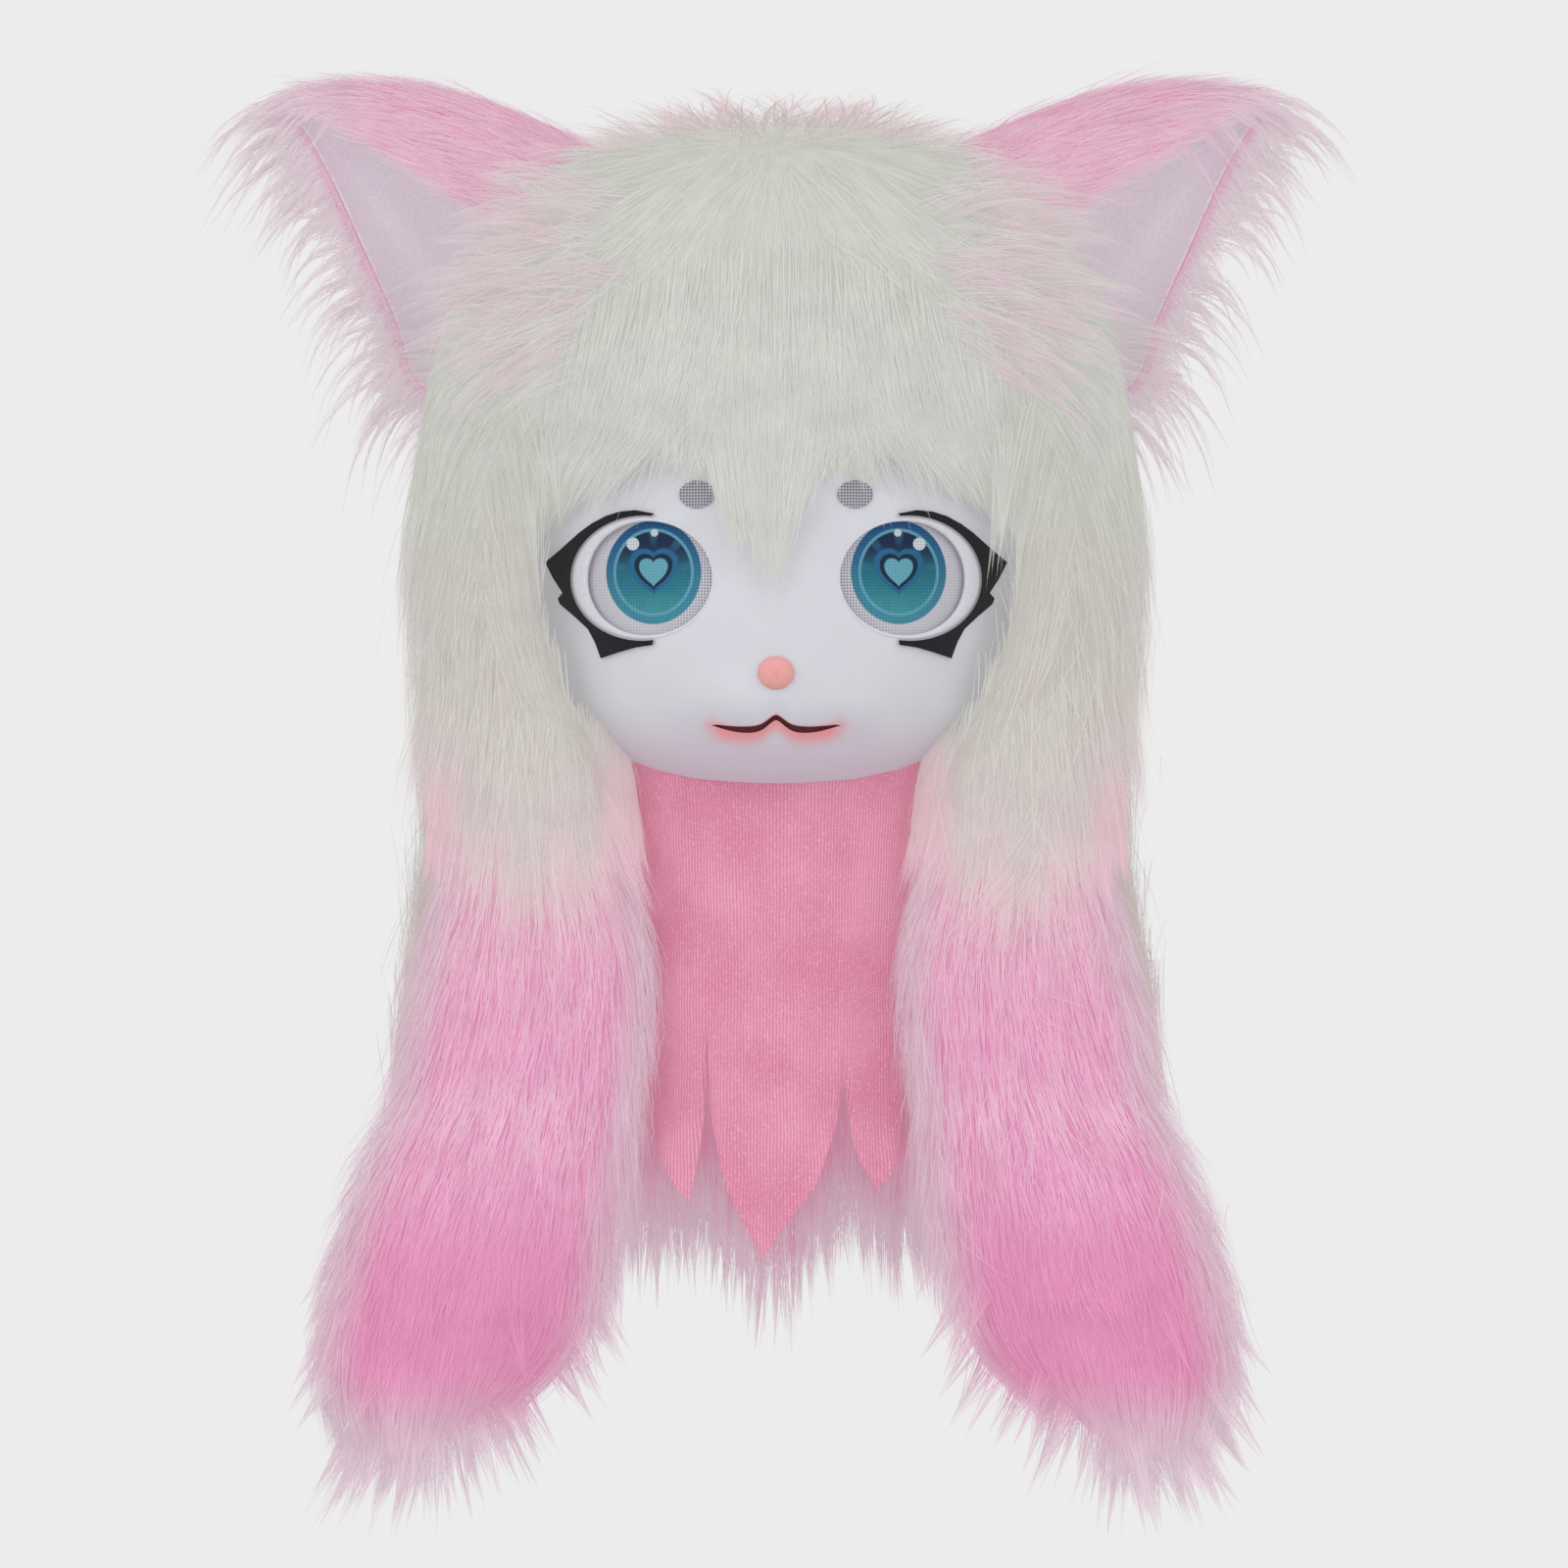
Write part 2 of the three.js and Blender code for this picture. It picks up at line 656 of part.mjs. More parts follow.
function furForm() {
  const rings = FUR_ROWS.map(({ down }) =>
    Array.from({ length: FUR_SIDES }, (_, i) => furPoint(down, (i / FUR_SIDES) * 2 * Math.PI)),
  );
  return toSolid(loft(rings, [point(0, 0, CROWN_Z + HAIR_TOP), null]));
}

// The front outline that the face shows through, between the side hair and under the fringe
function faceOutline(grow) {
  const half = FACE_WIDTH / 2 + grow;
  const shape = new THREE.Shape();
  shape.moveTo(-half * 0.7, HEM_Z - FAR / 4);
  shape.lineTo(-half * 0.83, HEM_Z);
  shape.bezierCurveTo(
    -half * 0.98,
    HEM_Z + HEAD_HEIGHT * 0.12,
    -half * 1.02,
    HEM_Z + HEAD_HEIGHT * 0.24,
    -half * 0.97,
    maskTopZ - HEAD_HEIGHT * 0.08,
  );
  shape.quadraticCurveTo(-half * 0.94, maskTopZ + grow, -half * 0.84, maskTopZ + grow);
  const left = shape.getPoints(6).map((p) => ({ x: p.x, z: p.y }));
  return [...left, ...left.map((p) => ({ x: -p.x, z: p.z })).reverse()];
}

// A lock rooted in the fur, pointing partly down it and partly away from it
function furLock(down, turn, { length, lift, width, depth }) {
  const root = furPoint(down, turn);
  const below = furPoint(down + 0.02, turn);
  const beside = furPoint(down, turn + 0.02);
  const fall = below.clone().sub(root).normalize();
  const out = beside.sub(root).cross(fall).normalize();
  if (out.dot(point(root.x, root.y, 40)) < 0) out.negate();
  const from = root.clone().addScaledVector(out, -depth / 2);
  const bow = from.clone().addScaledVector(fall, length * 0.55);
  bow.addScaledVector(out, length * lift * 0.3 + depth / 4);
  const to = from.clone().addScaledVector(fall, length * 0.9);
  to.addScaledVector(out, length * lift + depth / 4);
  return lock({ from, bow, to, width, depth, facing: out });
}

// A lock's size from its share of the longest, and how far its tip lifts
const hairLock = (share, lift) => ({
  length: HAIR_LOCK * share,
  width: HAIR_LOCK_WIDTH * share,
  depth: HAIR_LOCK_DEPTH * (0.4 + 0.6 * share),
  lift,
});

// Tufts over the crown, flicks down both sides and a row of locks behind
function furLocks() {
  const locks = [];
  for (let i = 0; i < 7; i += 1) {
    const turn = (180 + i * 30) * RAD;
    const size = hairLock(i % 2 ? 0.67 : 0.57, 0.32);
    locks.push(furLock(0.05, turn, size));
  }
  for (const side of [0, 180]) {
    for (let i = 0; i < 4; i += 1) {
      const lean = side ? -1 : 1;
      const size = hairLock(0.7, 0.16);
      locks.push(furLock(0.48 + 0.13 * i, (side + lean * (4 + 12 * (i % 2))) * RAD, size));
    }
  }
  for (let i = 0; i < 8; i += 1) {
    const turn = (27 + i * 18) * RAD;
    const size = hairLock(1, 0.14);
    locks.push(furLock(i % 2 ? 0.42 : 0.62, turn, size));
  }
  return locks;
}

// The hair in front of the forehead: a band under the edge of the head's fur, with locks hanging from it

function hangingLock(x, topZ, drop, sweep, width, out) {
  const at = (dx, z, more) => point(x + dx, faceY(x + dx, z) - out - more, z);
  const from = at(0, topZ, 0);
  const bow = at(sweep * 0.2, topZ - drop * 0.5, FRINGE_THICK * 0.35);
  const to = at(sweep, topZ - drop, -FRINGE_THICK * 0.1);
  return lock({ from, bow, to, width, depth: FRINGE_THICK * 0.62, facing: point(0, -1, 0) });
}

function fringe() {
  const half = FACE_WIDTH / 2;
  const top = maskTopZ - GAP;
  const band = [
    { x: -half * 0.86, z: top },
    { x: -half * 0.9, z: top - FRINGE_BAND * 0.5 },
    { x: -half * 0.9, z: top - FRINGE_BAND },
    { x: half * 0.9, z: top - FRINGE_BAND },
    { x: half * 0.9, z: top - FRINGE_BAND * 0.5 },
    { x: half * 0.86, z: top },
  ];
  const base = headLayer(GAP, FRINGE_THICK).intersect(frontPrism(band, -FAR, maskBackY));
  const rootZ = top - FRINGE_BAND * 0.45;
  const width = FACE_WIDTH * 0.1;
  const locks = FRINGE_LOCKS.map(({ x, drop, sweep }) =>
    hangingLock(
      x * half * 0.94,
      rootZ,
      drop * FRINGE_DROP,
      sweep * FRINGE_DROP,
      width,
      FRINGE_THICK * 0.62,
    ),
  );
  const forelocks = FORELOCKS.map(({ x, drop, sweep }) =>
    hangingLock(
      x * half,
      rootZ,
      drop * FORELOCK_DROP,
      sweep * FORELOCK_DROP,
      width,
      FRINGE_THICK * 0.82,
    ),
  );
  return joined([base, ...locks, ...forelocks])
    .subtract(headSolid(GAP + LASH_THICK + GAP))
    .intersect(frontPrism(faceOutline(-GAP), -FAR, maskBackY));
}

// The ear on the viewer's right

const earAxis = point(Math.sin(EAR_LEAN * RAD), 0, Math.cos(EAR_LEAN * RAD));
const earUp = point(-earAxis.z, 0, earAxis.x);
const earRoot = point(EAR_OUT, EAR_BACK, CROWN_Z - EAR_DROP);

// A point of the ear's section. turn 180 is the lower edge, 90 the back, 0 the top and under 0 the curl over the front.
function earPoint(along, turn, out) {
  const row = (column) => valueAt(EAR_ROWS, "along", column, along);
  const c = Math.cos(turn * RAD);
  const s = Math.sin(turn * RAD);
  const high = c > 0 ? EAR_UPPER * row("upper") : EAR_LOWER * row("lower");
  const deep = s > 0 ? EAR_DEPTH * row("depth") : EAR_CURL * row("curl");
  return earRoot
    .clone()
    .addScaledVector(earAxis, along * EAR_LENGTH)
    .addScaledVector(earUp, c * (high + out))
    .add(point(0, s * (deep + out), 0));
}

const EAR_TURNS = [178, 145, 112, 78, 45, 10, -30, -70];

// A bent wall in the ear's form, between two distances out from its cup. edge is the distance out at its free edges, and
// trim the degrees that they're cut back by.
function earWall(inside, outside, edge, trim = 0) {
  const last = EAR_TURNS.length - 1;
  const rings = EAR_ROWS.map(({ along, wall: share }) => {
    const turns = EAR_TURNS.map((turn, i) => turn + (i === 0 ? -trim : i === last ? trim : 0));
    const outer = turns.map((turn, i) => {
      const out = i === 0 || i === last ? edge : outside;
      return earPoint(along, turn, out > 0 ? out * share : out);
    });
    const inner = turns.map((turn) => earPoint(along, turn, inside)).reverse();
    return [...outer, ...inner];
  });
  return toSolid(loft(rings));
}

function earLocks(grow = 0) {
  const locks = [];
  const size = { width: EAR_HAIR_WIDTH, depth: EAR_HAIR_DEPTH, facing: point(0, -1, 0), grow };
  for (let i = 0; i < 9; i += 1) {
    const along = 0.04 + 0.1 * i;
    const from = earPoint(along, EAR_HAIR_TURN, EAR_WALL * 0.3);
    const length = EAR_HAIR * (1.0 - 0.35 * Math.abs(along - 0.55));
    const bow = from.clone().add(point(length * 0.62, EAR_WALL * 0.4, -length * 0.22));
    const to = from.clone().add(point(length * 0.72, EAR_WALL * 0.6, -length * 0.9));
    locks.push(lock({ from, bow, to, ...size }));
  }
  const tip = earPoint(0.9, 90, -EAR_WALL * 0.2);
  for (const { out, up } of TIP_LOCKS) {
    const to = tip.clone().add(point(out * EAR_HAIR, 0, up * EAR_HAIR + EAR_HAIR * 0.25));
    const bow = tip.clone().add(point(out * EAR_HAIR * 0.75, 0, EAR_HAIR * 0.18));
    locks.push(lock({ from: tip, bow, to, ...size, depth: EAR_HAIR_DEPTH * 1.5 }));
  }
  return locks;
}

function ear() {
  const liningRoom = earWall(-EAR_LINING - 2 * GAP, 0, 0);
  const whole = joined([earWall(0, EAR_WALL, EAR_EDGE), ...earLocks()])
    .subtract(liningRoom)
    .subtract(headSolid(GAP));
  return largestBody(whole);
}

function earLining() {
  return earWall(-GAP - EAR_LINING, -GAP, -GAP).subtract(headSolid(GAP));
}

// The side tail on the viewer's right

const tailTopZ = HEM_Z - GAP;

function tailSection(down) {
  const row = (column) => valueAt(TAIL_ROWS, "down", column, down);
  return {
    x: TAIL_OUT + TAIL_SPLAY * row("out"),
    y: -TAIL_FRONT * row("middle"),
    z: tailTopZ - TAIL_LENGTH * down,
    wide: (TAIL_WIDTH / 2) * row("wide"),
    deep: (TAIL_DEPTH / 2) * row("deep"),
  };
}

function tailRing(down, turns, out = 0) {
  const s = tailSection(down);
  return turns.map((turn) =>
    point(
      s.x + (s.wide + out) * Math.cos(turn),
      s.y + (s.deep + out) * Math.sin(turn),
      s.z,
    ),
  );
}

const aroundBy = (sides) => Array.from({ length: sides }, (_, i) => (i / sides) * 2 * Math.PI);

function tailForm(out, downs) {
  const rings = downs.map((down) => tailRing(down, aroundBy(TAIL_SIDES), out));
  return toSolid(loft(rings));
}

// A lock that lies along the tail from one place and leaves it by a little
function tailLock(down, turn, { length, lift, width, depth, sunk }) {
  const [from, next] = [down, down + 0.03].map((d) => tailRing(d, [turn], -sunk)[0]);
  const out = point(Math.cos(turn), Math.sin(turn), 0);
  const fall = next.clone().sub(from).normalize();
  const bow = from.clone().addScaledVector(fall, length * 0.5);
  bow.addScaledVector(out, depth * 0.5 + length * lift * 0.2);
  const to = from.clone().addScaledVector(fall, length).addScaledVector(out, length * lift);
  return lock({ from, bow, to, width, depth, facing: out });
}

const tailLockSize = { width: TAIL_LOCK_WIDTH, depth: TAIL_LOCK_DEPTH };

function sideTail() {
  const body = tailForm(
    0,
    TAIL_ROWS.map(({ down }) => down),
  );
  const locks = [];
  const feet = 8;
  for (let i = 0; i < feet; i += 1) {
    const turn = (i / feet) * 2 * Math.PI + 0.3;
    const length = TAIL_LOCK * (i % 2 ? 1.0 : 0.8);
    const size = { ...tailLockSize, length, lift: 0.12, sunk: TAIL_LOCK_DEPTH * 0.45 };
    locks.push(tailLock(0.93, turn, size));
  }
  for (const turn of [0, Math.PI]) {
    for (let i = 0; i < 2; i += 1) {
      const size = { ...tailLockSize, length: TAIL_LOCK * 1.1, lift: 0.2, sunk: TAIL_LOCK_DEPTH * 0.4 };
      locks.push(tailLock(0.56 + 0.2 * i, turn + 0.2 * (i % 2), size));
    }
  }
  return joined([body, ...locks]).subtract(headSolid(GAP)).subtract(neckForm(GAP + NECK_FUR_THICK));
}

// The white hair that hangs over the tail's top
function sideHair() {
  const end = SLEEVE_LENGTH / TAIL_LENGTH;
  const downs = [0, end / 3, (2 * end) / 3, end];
  const outer = tailForm(SLEEVE_THICK, downs);
  const locks = [];
  const count = 9;
  for (let i = 0; i < count; i += 1) {
    const turn = (180 + (i / (count - 1)) * 210 - 15) * RAD;
    const length = SLEEVE_LOCK * (i % 2 ? 1.0 : 0.78);
    const size = { length, lift: 0.06, width: SLEEVE_LOCK_WIDTH, depth: SLEEVE_THICK * 0.75 };
    size.sunk = -SLEEVE_THICK * 0.5;
    locks.push(tailLock(end * 0.86, turn, size));
  }
  const inner = tailForm(
    GAP,
    TAIL_ROWS.slice(0, 7).map(({ down }) => down),
  );
  return joined([outer, ...locks])
    .subtract(inner)
    .subtract(headSolid(GAP))
    .subtract(neckForm(GAP + NECK_FUR_THICK))
    .subtract(block(-FAR, FAR, -FAR, FAR, tailTopZ, FAR));
}

// The neck

const neckZ = CROWN_Z - NECK_DROP;
const neckY = -(HEAD_FRONT - HEAD_BACK) / 2 + NECK_BACK;

// The turns, in degrees, that the bib and the neck's fur run between
const BIB_TURNS = [184, 356];
const NECK_FUR_TURNS = [3, 177];

function neckPoint(down, turn, out) {
  const row = (column) => valueAt(NECK_ROWS, "down", column, down);
  return point(
    ((NECK_WIDTH / 2) * row("wide") + out) * Math.cos(turn),
    neckY + ((NECK_DEPTH / 2) * row("deep") + out) * Math.sin(turn),
    neckZ - down * BIB_LENGTH,
  );
}

// The neck as a plain solid, grown by a distance
function neckForm(out) {
  const rings = NECK_ROWS.map(({ down }) =>
    aroundBy(NECK_SIDES).map((turn) => neckPoint(down, turn, out)),
  );
  return toSolid(loft(rings));
}

// Part of the neck's wall between two turns, in degrees
function neckWall([fromTurn, toTurn], steps, inside, outside, bottom) {
  const turns = Array.from(
    { length: steps + 1 },
    (_, i) => (fromTurn + ((toTurn - fromTurn) * i) / steps) * RAD,
  );
  const rows = [...NECK_ROWS.filter((row) => row.down < bottom), { down: bottom }];
  const rings = rows.map(({ down }) => [
    ...turns.map((turn) => neckPoint(down, turn, outside)),
    ...turns.map((turn) => neckPoint(down, turn, inside)).reverse(),
  ]);
  return toSolid(loft(rings));
}

function bib() {
  const lowest = Math.max(...HEM_POINTS.map(({ down }) => down)) * 1.08;
  const cloth = neckWall(BIB_TURNS, 14, -BIB_THICK / 2, BIB_THICK / 2, lowest);
  const outline = [
    { x: -FAR, z: FAR },
    ...HEM_POINTS.map(({ x, down }) => ({
      x: (x * NECK_WIDTH) / 2,
      z: neckZ - down * BIB_LENGTH,
    })).reverse(),
    { x: FAR, z: FAR },
  ];
  return cloth.intersect(frontPrism(outline, -FAR, FAR)).intersect(belowNeck(GAP));
}

function neckFur() {
  const bottom = NECK_FUR_LENGTH / BIB_LENGTH;
  const fur = neckWall(NECK_FUR_TURNS, 10, -BIB_THICK / 2, NECK_FUR_THICK - BIB_THICK / 2, bottom);
  const locks = [];
  const count = 9;
  for (let i = 0; i < count; i += 1) {
    const turn = (16 + (i / (count - 1)) * 148) * RAD;
    const from = neckPoint(bottom - 0.08, turn, NECK_FUR_THICK * 0.45);
    const length = NECK_FUR_LOCK * (0.72 + 0.28 * Math.sin(turn)) * (i % 2 ? 0.86 : 1);
    const bow = from.clone().add(point(0, 2, -length * 0.5));
    const to = from.clone().add(point(0, -6, -length));
    const facing = point(Math.cos(turn), Math.sin(turn), 0);
    const size = { width: NECK_FUR_LOCK_WIDTH, depth: NECK_FUR_THICK * 0.8 };
    locks.push(lock({ from, bow, to, ...size, facing }));
  }
  return joined([fur, ...locks]).intersect(belowNeck(GAP));
}

// The white hair behind the tails, hanging from the hem of the head's fur

function backHairPoint(down, turn, out) {
  const row = (column) => valueAt(BACK_HAIR_ROWS, "down", column, down);
  const deep = furReach.back * FUR_ROWS.at(-1).back;
  return point(
    ((BACK_HAIR_WIDTH / 2) * row("wide") + out) * Math.cos(turn),
    (deep * row("deep") + out) * Math.sin(turn),
    tailTopZ - down * BACK_HAIR_LENGTH,
  );
}

function backHair() {
  const steps = 12;
  const [first, last] = [7, 173];
  const turns = Array.from(
    { length: steps + 1 },
    (_, i) => (first + ((last - first) * i) / steps) * RAD,
  );
  const rings = BACK_HAIR_ROWS.map(({ down }) => [
    ...turns.map((turn) => backHairPoint(down, turn, 0)),
    ...turns.map((turn) => backHairPoint(down, turn, -BACK_HAIR_THICK)).reverse(),
  ]);
  const locks = [];
  const count = 11;
  for (let i = 0; i < count; i += 1) {
    const turn = (first + 5 + (i / (count - 1)) * (last - first - 10)) * RAD;
    const from = backHairPoint(0.93, turn, -BACK_HAIR_THICK / 2);
    const length = BACK_HAIR_LOCK * (i % 2 ? 1 : 0.75);
    const bow = from.clone().add(point(0, 0, -length * 0.5));
    const to = from.clone().add(point(-2 * Math.cos(turn), -6 * Math.sin(turn), -length));
    const facing = point(Math.cos(turn), Math.sin(turn), 0);
    const size = { width: BACK_HAIR_LOCK_WIDTH, depth: BACK_HAIR_THICK * 0.7 };
    locks.push(lock({ from, bow, to, ...size, facing }));
  }
  return joined([toSolid(loft(rings)), ...locks])
    .subtract(headSolid(GAP))
    .subtract(neckForm(GAP + NECK_FUR_THICK));
}

function scalpFur() {
  const earRoom = earWall(-EAR_LINING - 3 * GAP, EAR_WALL + 2 * GAP, EAR_WALL, -6);
  const envelope = joined([earRoom, ...earLocks(GAP)]);
  const whole = joined([furForm(), ...furLocks()])
    .subtract(headSolid(GAP))
    .subtract(frontPrism(faceOutline(0), -FAR, maskBackY))
    .subtract(bothEyes(envelope))
    .subtract(belowNeck(0))
    .subtract(block(-FAR, FAR, -FAR, FAR, -FAR, HEM_Z));
  return largestBody(whole);
}

// The assembly

const FINISHES = {
  mask: { color: 0xe4e3ea, roughness: 0.85 },
  shell: { color: 0xd9d6d2, roughness: 0.7 },
  screen: { color: 0x4fa3c7, roughness: 0.8 },
  lash: { color: 0x15161a, roughness: 0.75 },
  brow: { color: 0x9b99a0, roughness: 0.9 },
  nose: { color: 0xf2a9a2, roughness: 0.9 },
  mouth: { color: 0x4a2b2c, roughness: 0.9 },
  whiteFur: { color: 0xe9e8e0, roughness: 0.95 },
  pinkFur: { color: 0xee9fc7, roughness: 0.95 },
  lining: { color: 0xe6e2ea, roughness: 0.9 },
  knit: { color: 0xe88fae, roughness: 0.95 },
};

const head = new THREE.Group();

function addPiece(name, finish, solid) {
  const material = new THREE.MeshStandardMaterial({ ...FINISHES[finish], metalness: 0 });
  const mesh = new THREE.Mesh(toGeometry(solid.simplify(WELD)), material);
  mesh.name = name;
  head.add(mesh);
  return solid;
}

function addPair(name, finish, right) {
  addPiece(`${name}_right`, finish, right);
  addPiece(`${name}_left`, finish, mirrored(right));
}

const fur = scalpFur();
const hairBehind = backHair();

addPiece("face_mask", "mask", faceMask());
addPiece("hood_shell", "shell", hoodShell());
addPair("eye_rim", "mask", eyeRim());
addPair("eye_screen", "screen", eyeScreen());
addPair("lash", "lash", lash());
addPair("brow", "brow", brow());
addPiece("nose", "nose", nose());
addPiece("mouth_screen", "mouth", mouthScreen());
addPiece("head_fur", "whiteFur", fur);
addPiece("fringe", "whiteFur", fringe());
addPair("ear", "pinkFur", ear());
addPair("ear_lining", "lining", earLining());
addPair("side_hair", "whiteFur", sideHair());
addPair("side_tail", "pinkFur", sideTail());
addPiece("bib", "knit", bib());
addPiece("neck_fur", "pinkFur", neckFur());
addPiece("back_hair", "whiteFur", hairBehind);

export default head;
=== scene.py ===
"""A costume head with long fur, dressed over its solids. Lengths are in millimetres until a mesh is made."""

import math
from collections import namedtuple

import bpy
import numpy as np
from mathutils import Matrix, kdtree


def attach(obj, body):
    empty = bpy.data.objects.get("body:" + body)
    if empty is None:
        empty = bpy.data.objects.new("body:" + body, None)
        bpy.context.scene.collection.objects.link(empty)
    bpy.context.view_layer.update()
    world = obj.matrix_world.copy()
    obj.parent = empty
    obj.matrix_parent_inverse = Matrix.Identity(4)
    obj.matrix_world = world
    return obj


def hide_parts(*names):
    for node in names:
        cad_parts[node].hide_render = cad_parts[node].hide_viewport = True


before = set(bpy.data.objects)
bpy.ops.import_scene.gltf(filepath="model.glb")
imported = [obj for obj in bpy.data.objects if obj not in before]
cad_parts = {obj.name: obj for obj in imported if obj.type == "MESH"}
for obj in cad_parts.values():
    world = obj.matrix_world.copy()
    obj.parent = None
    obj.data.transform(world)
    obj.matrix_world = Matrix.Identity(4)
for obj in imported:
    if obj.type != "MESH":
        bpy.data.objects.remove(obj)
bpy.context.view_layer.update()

MM = 0.001
GAP = 0.3

# The mouth's bows and middle peak, as shares of its opening, and their ends, as shares of its half width
BOW, PEAK, BOW_END, PEAK_WIDTH = 0.62, 1.2, 0.94, 0.17

# Sizes of the forms
CROWN_Z = 4
HEAD_WIDTH, HEAD_HEIGHT, HEAD_FRONT, HEAD_BACK = 260, 311, 150, 128
SHELL_WALL = 4
RIM_FRONT_DROP, RIM_BACK_DROP = 326, 240
MASK_TOP_Z = -118
MASK_BACK_Y = -35
EYE_X, EYE_Z = 67.5, -201
EYE_WIDTH, EYE_HEIGHT = 73, 62
RIM_OUTER, RIM_INNER = 8.5, 1.2
BROW_X, BROW_Z, BROW_WIDTH, BROW_HEIGHT = 40, -159, 18, 14
NOSE_Z, NOSE_WIDTH, NOSE_HEIGHT, NOSE_PROUD = -249, 18.5, 17, 7.5
MOUTH_Z, MOUTH_WIDTH, MOUTH_OPEN = -275.5, 65, 3.4
FACE_HALF = 125
FUR_TOP_Z, FUR_HEM_Z = 35, -262
FUR_WIDE, FUR_FRONT, FUR_BACK = 187, 166, 166
EAR_LENGTH, EAR_UPPER, EAR_LOWER, EAR_DEPTH, EAR_CURL, EAR_WALL = 140, 72, 70, 45, 30, 10
EAR_LEAN, EAR_X, EAR_Y, EAR_Z = math.radians(50), 138, 12, -47
EAR_RIM_TURN, EAR_LOWER_TURN, EAR_EDGE = -70, 178, 3.5
EAR_BEND, EAR_BEND_FROM = 300, 0.92
TAIL_LENGTH, TAIL_WIDTH, TAIL_DEPTH, TAIL_X, TAIL_SPLAY, TAIL_FRONT = 390, 134, 92, 125, 54, 62
SLEEVE_THICK = 12
NECK_WIDTH, NECK_DEPTH, NECK_Y, NECK_Z = 190, 200, -3, -268
BIB_LENGTH, NECK_FUR_THICK, NECK_FUR_LENGTH = 279, 14, 240
BACK_HAIR_WIDTH, BACK_HAIR_LENGTH = 396, 190


def rows(names, *values):
    """A table with named columns."""
    return {n: np.array(c, float) for n, c in zip(names.split(), zip(*values))}


# Sections, as shares of the sizes above

HEAD_ROWS = rows(
    "down wide front back",
    (0.0, 0.02, 0.02, 0.02),
    (0.008, 0.16, 0.13, 0.15),
    (0.05, 0.42, 0.38, 0.42),
    (0.12, 0.64, 0.6, 0.66),
    (0.22, 0.82, 0.8, 0.86),
    (0.34, 0.94, 0.93, 0.97),
    (0.47, 1.0, 0.985, 1.0),
    (0.6, 0.995, 1.0, 0.95),
    (0.69, 0.955, 0.995, 0.87),
    (0.78, 0.89, 0.975, 0.76),
    (0.86, 0.81, 0.94, 0.62),
    (0.92, 0.69, 0.885, 0.47),
    (0.965, 0.54, 0.8, 0.3),
    (0.99, 0.33, 0.7, 0.08),
    (1.0, 0.03, 0.4, -0.34),
)
RELIEF_ROWS = rows(
    "x down across high out",
    (0, 0.865, 0.29, 0.085, 0.055),
    (0.52, 0.83, 0.3, 0.09, 0.02),
    (0.5, 0.645, 0.3, 0.1, -0.022),
)
FUR_ROWS = rows(
    "down wide front back",
    (0.0, 0.002, 0.002, 0.002),
    (0.007, 0.21, 0.17, 0.18),
    (0.03, 0.38, 0.37, 0.38),
    (0.08, 0.56, 0.59, 0.61),
    (0.16, 0.73, 0.75, 0.77),
    (0.29, 0.86, 0.88, 0.89),
    (0.45, 0.95, 0.965, 0.975),
    (0.6, 0.995, 0.89, 1.0),
    (0.75, 1.0, 0.77, 0.99),
    (0.88, 0.98, 0.71, 0.96),
    (1.0, 0.95, 0.66, 0.915),
)
FACE_ROWS = rows(
    "down half",
    (0.0, 0.86),
    (0.05, 0.94),
    (0.17, 0.98),
    (0.4, 0.995),
    (0.6, 0.975),
    (0.8, 0.922),
    (1.0, 0.83),
    (1.12, 0.76),
    (1.28, 0.66),
)
EAR_ROWS = rows(
    "along upper lower depth curl wall",
    (-0.42, 0.62, 0.6, 0.8, 0.6, 1.0),
    (0.0, 1.0, 1.0, 1.0, 1.0, 1.0),
    (0.25, 0.91, 0.74, 0.9, 0.93, 0.95),
    (0.5, 0.73, 0.5, 0.68, 0.8, 0.85),
    (0.75, 0.46, 0.26, 0.42, 0.55, 0.7),
    (0.93, 0.2, 0.12, 0.2, 0.26, 0.5),
    (1.02, 0.07, 0.07, 0.09, 0.1, 0.3),
)
TAIL_ROWS = rows(
    "down out wide deep middle",
    (0.0, 0.0, 0.54, 0.74, 0.8),
    (0.1, 0.0, 0.59, 0.82, 0.92),
    (0.21, -0.04, 0.64, 0.84, 1.0),
    (0.32, -0.05, 0.79, 0.87, 1.05),
    (0.42, 0.02, 0.84, 0.9, 1.06),
    (0.52, 0.14, 0.86, 0.88, 1.06),
    (0.63, 0.35, 0.96, 1.0, 1.06),
    (0.76, 0.57, 1.0, 1.0, 1.06),
    (0.87, 0.74, 0.99, 0.96, 1.06),
    (0.94, 0.86, 0.84, 0.82, 1.06),
    (1.0, 1.0, 0.52, 0.5, 1.06),
)
NECK_ROWS = rows(
    "down wide deep",
    (-0.3, 1.0, 1.0),
    (0.0, 1.0, 0.98),
    (0.18, 0.93, 0.87),
    (0.42, 0.89, 0.8),
    (0.7, 0.89, 0.78),
    (1.1, 0.91, 0.78),
)
BACK_HAIR_ROWS = rows(
    "down wide deep",
    (0.0, 0.89, 1.0),
    (0.35, 0.91, 0.95),
    (0.7, 0.96, 0.85),
    (1.0, 1.0, 0.76),
)

